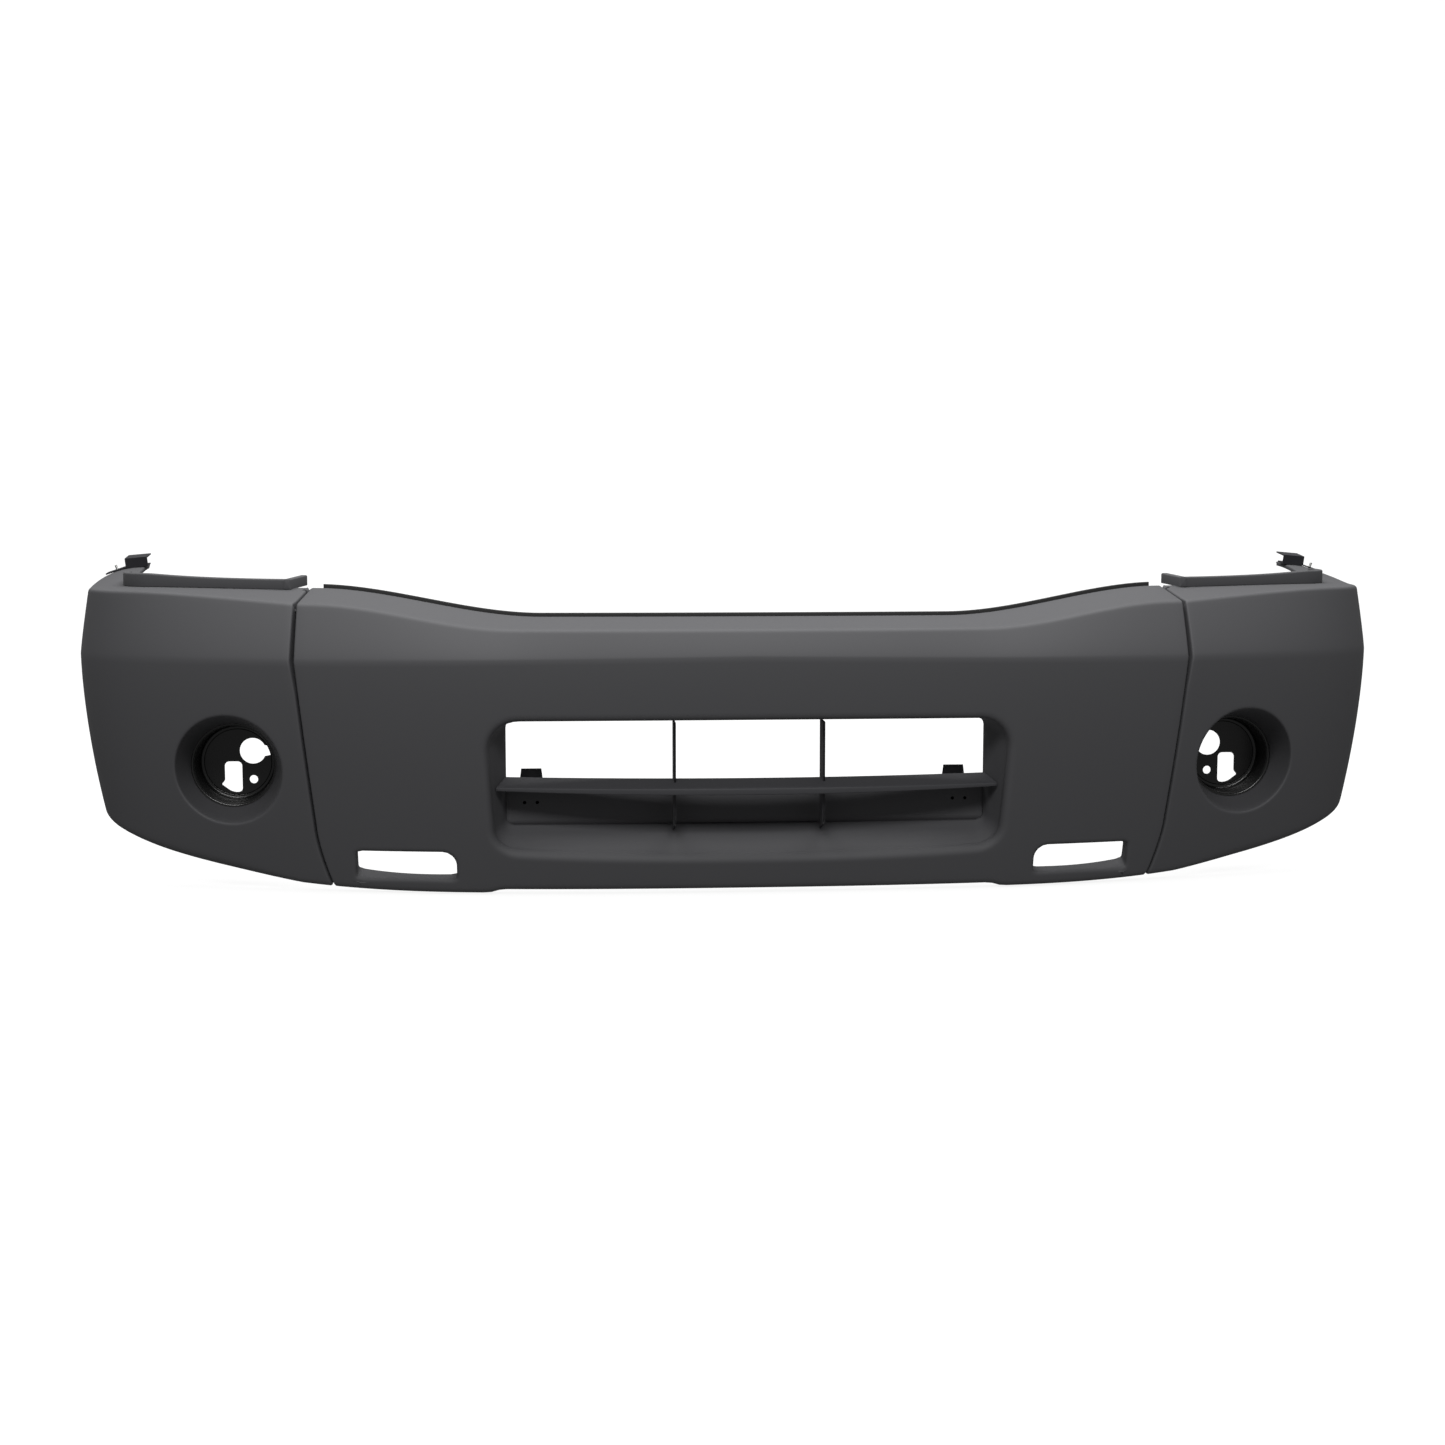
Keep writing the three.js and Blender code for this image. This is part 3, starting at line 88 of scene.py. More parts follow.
# ---- section ----
NOSE_HEIGHT, NOSE_RISE = 342.0, 8.0
CREASE_HEIGHT, CREASE_DIP, CREASE_DIP_START = 421.0, 34.0, 330.0
CREASE_SETBACK, CREASE_SETBACK_MID, CREASE_SETBACK_END = 31.0, 17.0, 14.0
CREASE_CLIMB, CREASE_CLIMB_SPAN, CREASE_CLIMB_END = 16.0, 0.35, 13.0
TOP_HEIGHT, TOP_DIP, TOP_DIP_START, DIP_END = 441.0, 40.0, 290.0, 610.0
TOP_CLIMB, TOP_CLIMB_START = 26.0, 0.7
BAND_DEPTH, BAND_DEPTH_END, BAND_CROWN_END = 108.0, 76.0, 5.0
LOWER_HEIGHT, STEP_HEIGHT, STEP_IN, STEP_RAMP = 19.0, 14.0, 369.0, 24.0
SEAM_FOOT_HEIGHT, CORNER_HEIGHT, CORNER_SPAN = 24.0, 99.0, 0.68
LOWER_SETBACK, LOWER_SETBACK_END, LOWER_POWER = 47.0, 30.0, 1.7
UPPER_POWER = 1.15
ROLL, ROLL_END, RETURN_DEPTH = 9.0, 15.0, 24.0
# ---- seam and wheel arch ----
SEAM_GAP, SEAM_LEAN, SEAM_HOOK, SEAM_HOOK_HEIGHT, SEAM_TOP_IN = 1.6, 24.0, 24.0, 110.0, 12.0
FLANGE_DEPTH = 24.0
RIM_STEP = 1.6
ARCH_RADIUS, ARCH_BACK, ARCH_HEIGHT = 450.0, 175.0, 60.0
# ---- lower intake ----
INTAKE_HALF, INTAKE_TOP, INTAKE_BOTTOM = 367.0, 263.0, 68.0
INTAKE_RADIUS, INTAKE_BACK_RADIUS, INTAKE_BACK = 46.0, 10.0, 96.0
SIDE_DRAFT, SIDE_DRAFT_FROM, ROOF_DRAFT = 0.357, 25.0, 0.08
RAMP_SLOPE, RAMP_FROM, BULKHEAD_TOP = 0.714, 42.0, 163.0
# ---- vane ----
VANE_FRONT, VANE_SWEEP, VANE_DEPTH = 20.0, 36.0, 35.0
VANE_HEIGHT, VANE_TILT, VANE_THICK = 165.0, 11.0, 3.0
VANE_LIP, VANE_LIP_END, VANE_LIP_THICK = 9.0, 5.0, 3.5
FIN_X, FIN_THICK, FIN_FRONT, FIN_BACK, FIN_FOOT = 105.0, 3.0, 44.0, 84.0, 111.0
FIT_GAP = 0.4
TONGUE_X, TONGUE_WIDTH, TONGUE_BACK = 307.0, 24.0, 133.0
# ---- tow-hook openings ----
TOW_INNER, TOW_OUTER, TOW_TOP, TOW_SILL_INNER, TOW_SILL_OUTER = 411.0, 552.0, 74.0, 38.0, 45.0
TOW_SILL_FRONT = 33.5
TOW_CORNER, TOW_SMALL_CORNER, TOW_DEPTH = 20.0, 5.0, 24.0
# ---- fog-lamp pockets ----
FOG_X, FOG_Z, FUNNEL_MOUTH, FUNNEL_END_RADIUS = 736.0, 184.0, 74.0, 60.0
FUNNEL_MOUTH_AT, FUNNEL_BACK, FUNNEL_LIP = 124.0, 186.0, 14.0
CUP_RADIUS, CUP_BACK, CUP_WALL = 54.0, 228.0, 2.5
LAMP_HOLE, LAMP_HOLE_RADIUS = (-21.5, 16.0), 19.0
AIM_HOLE, AIM_HOLE_RADIUS = (-22.0, -26.0), 6.5
SLOT, SLOT_HALF_WIDTH, SLOT_HALF_HEIGHT = (7.0, -22.0), 13.0, 23.0
# ---- headlamp filler and retainer strip ----
FILLER_START, FILLER_END, FILLER_INSET, FILLER_THICK = 8.0, 505.0, 13.0, 10.0
FILLER_TOP, FILLER_CLIMB, FILLER_LIFT, FILLER_NOSE = 453.0, 7.0, 0.2, 10.0
FILLER_RETURN, FILLER_LEAN, FILLER_RETURN_RISE = 30.0, 20.0, 5.0
STRIP_HALF, STRIP_DEPTH, STRIP_THICK = 600.0, 30.0, 2.5
STRIP_LIP, STRIP_LIP_THICK, STRIP_CLEAR = 5.0, 3.0, 1.6
UPPER_FLANGE_HALF, UPPER_FLANGE_DEPTH, TOP_EDGE = 262.0, 34.0, 3.0
# ---- fasteners ----
PIN_RADIUS, RETAINER_RISE, PIN_RISE = 1.9, 2.6, 3.0
SHANK, SMALL_SHANK, NUT_BORE = 3.0, 2.0, 3.3
# ---- stage, in metres and watts: name, place, aim, size, power ----
LIGHTS = (("overhead", (0.0, 0.3, 3.0), (0.0, 0.2, 0.0), (4.6, 2.2), 195.0),
          ("front", (-0.35, -3.6, 2.9), (0.0, 0.0, -0.05), (3.2, 1.2), 145.0),
          ("backdrop", (0.0, 4.0, 3.6), (0.0, 7.6, 0.4), (8.0, 2.0), 300.0))
FLOOR_GAP, FLOOR_FRONT, FLOOR_BACK, FLOOR_HALF = 0.002, -9.0, 5.0, 14
SWEEP_RADIUS, SWEEP_TOP = 3.0, 12.0
SKY_STRENGTH, FLOOR_GLOW = 0.22, 0.88
CAMERA_AT, CAMERA_AIM = (-0.24895, -2.8656, 0.1565), (0.0751, 0.9916, -0.1052)

ORIGIN = np.array([0.0, 128.7, 394.0])


def to_frame(points):
    """Bench millimetres to the frame's metres."""
    return (np.asarray(points, float) - ORIGIN) / 1000.0


def smooth(t):
    """0 below 0, 1 above 1, with flat ends between."""
    c = np.clip(t, 0.0, 1.0)
    return c * c * (3.0 - 2.0 * c)


def mix(a, b, t):
    """a where t is 0, b where t is 1, in proportion between."""
    return a + (b - a) * t


def unit(v):
    """Vectors divided by their lengths."""
    return v / np.maximum(np.linalg.norm(v, axis=-1, keepdims=True), 1e-9)


# ---- the skin ----
def nose_line(s):
    """Foremost line in plan: y grows as a power of x up to the seam, then x and y follow a cubic
    curve round the corner. Also the inward direction, which turns with the corner."""
    s = np.asarray(s, float)
    t = np.clip((s - SEAM_HALF) / END_LENGTH, 0.0, 1.0)
    pull_x = END_HALF - CORNER_PULL
    pull_y = SEAM_SETBACK + SWEEP_SLOPE * (pull_x - SEAM_HALF)
    xs = (SEAM_HALF, pull_x, pull_x + 4.0, END_HALF)
    ys = (SEAM_SETBACK, pull_y, pull_y + CORNER_REACH, COVER_DEPTH)
    u = 1.0 - t
    blend = (u**3, 3 * u * u * t, 3 * u * t * t, t**3)
    slope = (-3 * u * u, 3 * u * u - 6 * u * t, 6 * u * t - 3 * t * t, 3 * t * t)
    x = np.where(s <= SEAM_HALF, s, sum(b * k for b, k in zip(blend, xs)))
    near = SEAM_SETBACK * (np.clip(s, 0, SEAM_HALF) / SEAM_HALF) ** NOSE_POWER
    y = np.where(s <= SEAM_HALF, near, sum(b * k for b, k in zip(blend, ys)))
    dx = sum(b * k for b, k in zip(slope, xs))
    dy = sum(b * k for b, k in zip(slope, ys))
    turn = np.where(s <= SEAM_HALF, 0.0, np.arctan2(dy, dx) * smooth(t / 0.45))
    return x, y, -np.sin(turn), np.cos(turn), t


def section_at(s):
    """Heights and setbacks of the cover's section at path position s."""
    x, y, in_x, in_y, t = nose_line(s)
    a = np.minimum(s, SEAM_HALF)
    p = {"x": x, "y": y, "in_x": in_x, "in_y": in_y, "t": t}
    p["nose"] = NOSE_HEIGHT + NOSE_RISE * (1 - a / SEAM_HALF)
    crease_dip = 1 - smooth((a - CREASE_DIP_START) / (DIP_END - CREASE_DIP_START))
    top_dip = 1 - smooth((a - TOP_DIP_START) / (DIP_END - TOP_DIP_START))
    climb = smooth((t - TOP_CLIMB_START) / (1 - TOP_CLIMB_START))
    rise = 1 - (1 - np.minimum(1, t / CREASE_CLIMB_SPAN)) ** 2
    p["crease"] = CREASE_HEIGHT - CREASE_DIP * crease_dip + CREASE_CLIMB * rise + CREASE_CLIMB_END * climb
    p["crease_in"] = (mix(CREASE_SETBACK_MID, CREASE_SETBACK, smooth((a - 200) / 400))
                      + (CREASE_SETBACK_END - CREASE_SETBACK) * smooth(t / 0.6))
    p["top"] = TOP_HEIGHT - TOP_DIP * top_dip + TOP_CLIMB * climb
    p["top_in"] = mix(BAND_DEPTH, BAND_DEPTH_END, smooth(t / 0.7))
    p["crown"] = BAND_CROWN_END * climb
    share = np.maximum(0, (a - STEP_IN) / (SEAM_HALF - STEP_IN))
    ramp = (SEAM_FOOT_HEIGHT - STEP_HEIGHT) * share**2.5
    step = mix(LOWER_HEIGHT, STEP_HEIGHT, smooth((a - STEP_IN + STEP_RAMP) / STEP_RAMP))
    corner = (CORNER_HEIGHT - SEAM_FOOT_HEIGHT) * (1 - (1 - np.minimum(1, t / CORNER_SPAN)) ** 1.5)
    p["low"] = step + ramp + corner
    p["low_in"] = mix(LOWER_SETBACK, LOWER_SETBACK_END, smooth(t / 0.6))
    p["roll"] = mix(ROLL, ROLL_END, smooth(t / 0.12))
    return p


def face_in(p, z):
    """Setback of the face at height z: a power of the drop below the nose, another above it."""
    below = np.maximum(0.0, (p["nose"] - z) / (p["nose"] - p["low"]))
    above = np.clip((z - p["nose"]) / (p["crease"] - p["nose"]), 0.0, 1.0)
    return p["low_in"] * below**LOWER_POWER + p["crease_in"] * above**UPPER_POWER


def bend(a, b, c, f):
    """Quadratic curve from a to c pulled towards b."""
    return (1 - f) ** 2 * a + 2 * f * (1 - f) * b + f * f * c


def section_curve(p, v, crease_radius):
    """Setback and height at v: 0-1 return, 1-2 rolled foot, 2-3 lower face, 3-4 upper face,
    4-5 rounded crease, 5-6 top band, 6-7 its rear edge turned down."""
    start = p["low"] + p["roll"]
    start_in = face_in(p, start)
    f = [np.clip(v - k, 0, 1) for k in range(7)]
    face_len = np.hypot(p["crease_in"], p["crease"] - p["nose"])
    band_len = np.hypot(p["top_in"] - p["crease_in"], p["top"] - p["crease"])
    before = 1 - crease_radius / face_len
    after = crease_radius / band_len
    edge = TOP_EDGE / band_len

    def on_face(g):
        return p["crease_in"] * g**UPPER_POWER, mix(p["nose"], p["crease"], g)

    def on_band(g):
        lift = p["crown"] * np.sin(np.pi * g)
        return mix(p["crease_in"], p["top_in"], g), mix(p["crease"], p["top"], g) + lift

    z_low = mix(start, p["nose"], f[2])
    a_in, a_z = on_face(before)
    b_in, b_z = on_band(after)
    e_in, e_z = on_band(1 - edge)
    pieces = [
        (mix(p["low_in"] + RETURN_DEPTH, p["low_in"] + p["roll"], f[0]), p["low"] + 1 - f[0]),
        (bend(p["low_in"] + p["roll"], p["low_in"], start_in, f[1]), bend(p["low"], p["low"], start, f[1])),
        (face_in(p, z_low), z_low),
        on_face(before * f[3]),
        (bend(a_in, p["crease_in"], b_in, f[4]), bend(a_z, p["crease"], b_z, f[4])),
        on_band(mix(after, 1 - edge, f[5])),
        (bend(e_in, p["top_in"], p["top_in"], np.minimum(1, 2 * f[6])),
         bend(e_z, p["top"], p["top"] - TOP_EDGE, np.minimum(1, 2 * f[6]))
         - TOP_EDGE * np.maximum(0, 2 * f[6] - 1)),
    ]
    inward, z = pieces[0]
    for k in range(1, 7):
        inward = np.where(v > k, pieces[k][0], inward)
        z = np.where(v > k, pieces[k][1], z)
    return inward, z


def lift_point(s, inward, z, side=1.0):
    """Point at a setback behind the nose line."""
    x, y, in_x, in_y, _ = nose_line(np.abs(s))
    return np.stack(np.broadcast_arrays(np.sign(s) * side * (x + inward * in_x) + 0.0 * z,
                                        y + inward * in_y, z + 0.0 * inward), -1)


def seam_half(z):
    """Half width of the seam: it leans in down the face, hooks in at its foot and runs inward
    across the top band."""
    upper = SEAM_HALF - 2 - SEAM_TOP_IN * (z - CREASE_HEIGHT) / (TOP_HEIGHT - CREASE_HEIGHT)
    face = SEAM_HALF - 2 * (z - NOSE_HEIGHT) / (CREASE_HEIGHT - NOSE_HEIGHT)
    down = np.clip((NOSE_HEIGHT - z) / (NOSE_HEIGHT - SEAM_HOOK_HEIGHT), 0, 1)
    hook = np.maximum(0, SEAM_HOOK_HEIGHT - z) / (SEAM_HOOK_HEIGHT - LOWER_HEIGHT)
    lower = SEAM_HALF - SEAM_LEAN * down - SEAM_HOOK * hook**1.5
    return np.where(z > CREASE_HEIGHT, upper, np.where(z > NOSE_HEIGHT, face, lower))


def arch_at(v, crease_radius):
    """Path position where row v meets the wheel arch, by halving."""
    low = np.full(np.shape(v), SEAM_HALF)
    high = low + END_LENGTH
    for _ in range(30):
        middle = (low + high) / 2
        inward, z = section_curve(section_at(middle), v, crease_radius)
        q = lift_point(middle, inward, z)
        clear = np.hypot(q[..., 1] - COVER_DEPTH - ARCH_BACK, z - ARCH_HEIGHT) > ARCH_RADIUS
        low = np.where(clear, middle, low)
        high = np.where(clear, high, middle)
    return low


# ---- sheets and solids ----
class Sheet:
    """Grids of points gathered into one mesh. Rows run upward and columns to the right as seen from outside;
    worn is 1 on the rounded edges, whose finish is rubbed glossier and lightened as painted highlight."""

    def __init__(self):
        self.points, self.worn, self.faces, self.count = [], [], [], 0

    def grid(self, p, worn=0.0, closed=False, flip=False, holes=()):
        """Adds a grid of points as quads, leaving out the blocks of cells named as holes."""
        rows, cols = p.shape[:2]
        index = np.arange(rows * cols).reshape(rows, cols) + self.count
        if closed:
            index = np.concatenate([index, index[:, :1]], 1)
        quads = np.stack([index[:-1, :-1], index[:-1, 1:], index[1:, 1:], index[1:, :-1]], -1)
        keep = np.ones(quads.shape[:2], bool)
        for r0, r1, c0, c1 in holes:
            keep[r0:r1, c0:c1] = False
        quads = quads[keep]
        self.faces.append(quads[:, ::-1] if flip else quads)
        self.points.append(p.reshape(-1, 3))
        self.worn.append(np.broadcast_to(worn, p.shape[:2]).reshape(-1))
        self.count += rows * cols

    def copy(self, other, mirror=False):
        """Adds another sheet, or its mirror image in the middle plane."""
        flip = (-1, 1, 1) if mirror else (1, 1, 1)
        self.points += [p * flip for p in other.points]
        self.worn += other.worn
        self.faces += [(f[:, ::-1] if mirror else f) + self.count for f in other.faces]
        self.count += other.count

    def fan(self, ring, centre, flip=False):
        """Closes a ring with triangles to its centre."""
        n = len(ring)
        k = np.arange(n)
        tri = np.stack([k, (k + 1) % n, np.full(n, n)], -1) + self.count
        self.faces.append(tri[:, ::-1] if flip else tri)
        self.points.append(np.concatenate([ring, [centre]]))
        self.worn.append(np.zeros(n + 1))
        self.count += n + 1

    def object(self, name, material, mirror=False, merge=1e-5, wall=0.0):
        """Merges the gathered grids into one smooth mesh, thickened inward by the wall."""
        points = to_frame(np.concatenate(self.points))
        faces = [f[:, ::-1] if mirror else f for f in self.faces]
        if mirror:
            points = points * (-1, 1, 1)
        mesh = bpy.data.meshes.new(name)
        mesh.from_pydata(points.tolist(), [], [q for f in faces for q in f.tolist()])
        layer = mesh.attributes.new("worn", "FLOAT", "POINT")
        layer.data.foreach_set("value", np.concatenate(self.worn).astype(np.float32))
        work = bmesh.new()
        work.from_mesh(mesh)
        bmesh.ops.remove_doubles(work, verts=work.verts, dist=merge)
        bmesh.ops.dissolve_degenerate(work, edges=work.edges, dist=merge)
        work.to_mesh(mesh)
        work.free()
        mesh.polygons.foreach_set("use_smooth", np.ones(len(mesh.polygons), bool))
        mesh.materials.append(material)
        made = bpy.data.objects.new(name, mesh)
        bpy.context.scene.collection.objects.link(made)
        if wall:
            solid = made.modifiers.new("wall", "SOLIDIFY")
            solid.thickness, solid.offset, solid.use_even_offset = wall, -1.0, False
        return made


def soften(made, width):
    """Rounds the sharp edges of a finished piece."""
    edge = made.modifiers.new("edge", "BEVEL")
    edge.width, edge.segments, edge.limit_method, edge.angle_limit = width, 3, "ANGLE", 0.6
    edge.harden_normals = False


def rounded_loop(corners, radii, arc=5):
    """Closed outline through the corners, each rounded by a circular arc of its radius."""
    corners = np.asarray(corners, float)
    before, after = np.roll(corners, 1, 0), np.roll(corners, -1, 0)
    radii = np.broadcast_to(radii, (len(corners),))[:, None]
    f = np.linspace(0, 1, arc + 1)[None, :, None]
    a = (corners + unit(before - corners) * radii)[:, None]
    c = (corners + unit(after - corners) * radii)[:, None]
    b = corners[:, None]
    w = np.sqrt(0.5)
    top = (1 - f) ** 2 * a + 2 * w * f * (1 - f) * b + f * f * c
    return (top / ((1 - f) ** 2 + 2 * w * f * (1 - f) + f * f)).reshape(-1, 2)


def loft(sheet, rings, cap=0.8):
    """Closed solid through rings of shape (stations, points, 3). Each end is rounded: the last
    ring shrinks by the cap while the one before it stands back by the same amount."""
    rings = np.asarray(rings, float)

    def end(ring, ahead):
        shrink = unit(ring - ring.mean(0)) * cap
        return [ring - shrink, ring - 0.3 * shrink + 0.3 * cap * ahead, ring + cap * ahead]

    ahead = unit(rings[1].mean(0) - rings[0].mean(0))
    behind = unit(rings[-2].mean(0) - rings[-1].mean(0))
    stack = np.stack([*end(rings[0], ahead), *rings[1:-1], *end(rings[-1], behind)[::-1]])
    worn = np.zeros(stack.shape[:2])
    worn[:3] = worn[-3:] = 0.6
    arm = rings[0] - rings[0].mean(0)
    flip = float(np.cross(arm, np.roll(arm, -1, 0)).sum(0) @ ahead) < 0
    sheet.grid(stack, worn, closed=True, flip=flip)
    sheet.fan(stack[0], stack[0].mean(0), flip=not flip)
    sheet.fan(stack[-1], stack[-1].mean(0), flip=flip)


def lathe(sheet, profile, centre, axis=(0, 1, 0), sides=96, hexed=None, thread=None):
    """Surface of revolution: profile rows are radius and distance along the axis. hexed gives the
    share of a hexagon in each row; thread is a pitch and depth for rows marked in it."""
    axis = unit(np.asarray(axis, float))
    side = unit(np.cross(axis, (0.0, 0.0, 1.0) if abs(axis[2]) < 0.9 else (1.0, 0.0, 0.0)))
    up = np.cross(axis, side)
    profile = np.asarray(profile, float)
    angle = np.linspace(0, 2 * np.pi, sides, endpoint=False)
    radius = np.repeat(profile[:, :1], sides, 1)
    if hexed is not None:
        corner = np.cos(np.pi / 6) / np.cos(np.mod(angle, np.pi / 3) - np.pi / 6)
        radius = radius * mix(1.0, corner[None, :], np.asarray(hexed, float)[:, None])
    if thread is not None:
        pitch, depth, mask = thread
        wave = np.cos(2 * np.pi * profile[:, 1:] / pitch - angle[None, :])
        radius = radius + depth * (wave - 1) * 0.5 * np.asarray(mask, float)[:, None]
    p = (np.asarray(centre, float) + profile[:, 1, None, None] * axis
         + radius[..., None] * (np.cos(angle)[None, :, None] * side + np.sin(angle)[None, :, None] * up))
    travel = np.sum(profile[:-1, 0] * (profile[1:, 1] - profile[:-1, 1]) * (profile[1:, 0] + profile[:-1, 0]))
    sheet.grid(p, closed=True, flip=travel > 0)
    return p


# ---- openings in a skin ----
def side_points(k, q, corners, radii):
    """Point at share q of side k of a four-sided outline whose corners are circular arcs. A side
    runs from the middle of one corner to the middle of the next."""
    a, b = corners[k], corners[(k + 1) % 4]
    before, after = corners[(k + 3) % 4], corners[(k + 2) % 4]
    ra, rb = radii[k], radii[(k + 1) % 4]
    length = np.linalg.norm(b - a, axis=-1, keepdims=True)
    share_a, share_b = 0.9 * ra / length, 0.9 * rb / length
    q = q[..., None]
    w = np.sqrt(0.5)

    def arc(p0, p1, p2, f):
        top = (1 - f) ** 2 * p0 + 2 * w * f * (1 - f) * p1 + f * f * p2
        return top / ((1 - f) ** 2 + 2 * w * f * (1 - f) + f * f)

    leave = a + unit(b - a) * ra
    arrive = b + unit(a - b) * rb
    first = arc(a + unit(before - a) * ra, a, leave, 0.5 + 0.5 * np.clip(q / share_a, 0, 1))
    last = arc(arrive, b, b + unit(after - b) * rb, 0.5 * np.clip((q - 1 + share_b) / share_b, 0, 1))
    line = mix(leave, arrive, np.clip((q - share_a) / (1 - share_a - share_b), 0, 1))
    return np.where(q < share_a, first, np.where(q > 1 - share_b, last, line))


def block_loop(s, z, block):
    """The border of a block of grid cells, anticlockwise from its lower left corner: path
    positions, heights, side numbers and shares along the side."""
    r0, r1, c0, c1 = block
    rows = [np.full(c1 - c0, r0), np.arange(r0, r1), np.full(c1 - c0, r1), np.arange(r1, r0, -1)]
    cols = [np.arange(c0, c1), np.full(r1 - r0, c1), np.arange(c1, c0, -1), np.full(r1 - r0, c0)]
    side = np.concatenate([np.full(len(r), k) for k, r in enumerate(rows)])
    share = np.concatenate([np.arange(len(r)) / len(r) for r in rows])
    r, c = np.concatenate(rows), np.concatenate(cols)
    return s[r, c], z[r, c], side, share


def opening(sheet, s, z, block, outline_at, find, back_of, fillet, wall_rows=14, step=0.0, extra=None):
    """A hole in a skin grid with a rounded rim and a wall behind it. Rings run from the border of
    the block of cells to the rim, then a curve turns from the skin into the wall, and the wall
    follows outline_at(side, share, y, grow) to the depth back_of(skin depth). find gives the
    path position and depth of the skin at a place seen from the front. The wall starts a small
    step outside the curve."""
    border_s, border_z, side, share = block_loop(s, z, block)

    def on_skin(grow):
        y = np.full(len(side), 30.0)
        for _ in range(12):
            xz = outline_at(side, share, y, grow)
            path, y = find(xz)
        return xz, path, y

    xz_rim, path_rim, _ = on_skin(fillet)
    xz, _, y_front = on_skin(0.0)
    rows, worn = [], []
    for f in np.linspace(0, 1, 7) ** 0.8:
        path, height = mix(border_s, path_rim, f), mix(border_z, xz_rim[:, 1], f)
        rows.append(lift_point(path, face_in(section_at(np.abs(path)), height), height))
        worn.append(float(f == 1))
    start = rows[-1]
    corner = np.stack([xz[:, 0], y_front, xz[:, 1]], -1)
    back = back_of(y_front)
    y_deep = np.minimum(y_front + fillet, back - 1.0)
    deep = outline_at(side, share, y_deep, 0.0)
    deep = np.stack([deep[:, 0], y_deep, deep[:, 1]], -1)
    for f in np.linspace(0, 1, 8)[1:]:
        rows.append(bend(start, corner, deep, f))
        worn.append(1.0 if f < 0.9 else 0.3)
    for f in np.linspace(0, 1, wall_rows + 1)[1:]:
        y = mix(y_deep, back, f)
        wall = outline_at(side, share, y, step * (1 - f))
        rows.append(np.stack([wall[:, 0], y, wall[:, 1]], -1))
        worn.append(0.0)
    for ring in extra(side, share) if extra else ():
        rows.append(ring)
        worn.append(0.0)
    worn = np.repeat(np.array(worn)[:, None], len(side), 1)
    sheet.grid(np.stack(rows), worn, closed=True)


def edge_columns(p, radius, depth, close=0.0, left=False, turns=5):
    """Columns that round one border of grid p and run inward behind it, as a flange."""
    border, inner = (p[:, 0], p[:, 1]) if left else (p[:, -1], p[:, -2])
    out = unit(border - inner)
    normal = unit(np.cross(out, np.gradient(border, axis=0))) * (-1 if left else 1)
    depth = np.broadcast_to(depth, (len(border),))[:, None]
    cols = [border]
    for a in np.linspace(0, np.pi / 2, turns + 1)[1:]:
        cols.append(border + radius * np.sin(a) * out - radius * (1 - np.cos(a)) * normal)
    for f in np.linspace(0, 1, 5)[1:]:
        cols.append(border + (radius + close * f) * out - (radius + depth * f) * normal)
    worn = np.zeros((len(border), len(cols)))
    worn[:, 1:turns] = 1.0
    cols = np.stack(cols, 1)
    return (cols[:, ::-1], worn[:, ::-1]) if left else (cols, worn)


# ---- covers ----
ROWS = np.concatenate([
    np.linspace(0, 1, 4)[:-1], 1 + np.linspace(0, 1, 9)[:-1], 2 + np.linspace(0, 1, 45)[:-1],
    3 + np.linspace(0, 1, 15)[:-1], 4 + np.linspace(0, 1, 9)[:-1], 5 + np.linspace(0, 1, 15)[:-1],
    6 + np.linspace(0, 1, 7)])
FACE_ROW = 11
COLUMN_STEP = 11.0
COLUMNS = np.arange(-52, 53) * COLUMN_STEP
SEAM_COLUMNS = 4
FOG_START, FOG_LAST, FOG_COLUMNS, FAR_COLUMNS = 10.0, 785.0, 20, 60
FLANGE_CLOSE = 1.0
BULKHEAD_OVERLAP = 7.0


def flange_depth():
    """Depth of the seam flange along the rows: full on the face, small on the foot and band."""
    return mix(11.0, FLANGE_DEPTH, smooth((ROWS - 1.8) / 0.5) * (1 - smooth((ROWS - 3.9) / 0.8)))


def seam_edge(crease):
    """Path position of the seam along the rows, from the height that each row has there."""
    _, z = section_curve(section_at(SEAM_HALF), ROWS, crease)
    return seam_half(z)


def centre_find(xz):
    """Path position, which is x itself, and depth of a place on the centre cover."""
    p = section_at(np.abs(xz[:, 0]))
    return xz[:, 0], p["y"] + face_in(p, xz[:, 1])


def end_find(xz):
    """Path position of a place on the end cover, by stepping along the path until x agrees."""
    s = SEAM_HALF + (xz[:, 0] - SEAM_HALF) / 1.4
    for _ in range(12):
        q = lift_point(s, face_in(section_at(s), xz[:, 1]), xz[:, 1])
        s = s + (xz[:, 0] - q[:, 0]) / 1.5
    return s, q[:, 1]


def intake_corners(y, grow):
    """Corners and radii of the intake at depth y: sides and roof draw in and the ramp climbs in
    proportion to the depth, and the corner radius closes from the rim's to the back's."""
    half = INTAKE_HALF - SIDE_DRAFT * (y - SIDE_DRAFT_FROM) + grow
    top = INTAKE_TOP - ROOF_DRAFT * y + grow
    low = INTAKE_BOTTOM + RAMP_SLOPE * (y - RAMP_FROM) - grow
    closing = np.maximum(0, (y - SIDE_DRAFT_FROM) / (INTAKE_BACK - SIDE_DRAFT_FROM))
    radius = (mix(INTAKE_RADIUS, INTAKE_BACK_RADIUS, closing) + grow)[:, None]
    corners = [np.stack(c, -1) for c in ((-half, low), (half, low), (half, top), (-half, top))]
    return corners, [radius] * 4


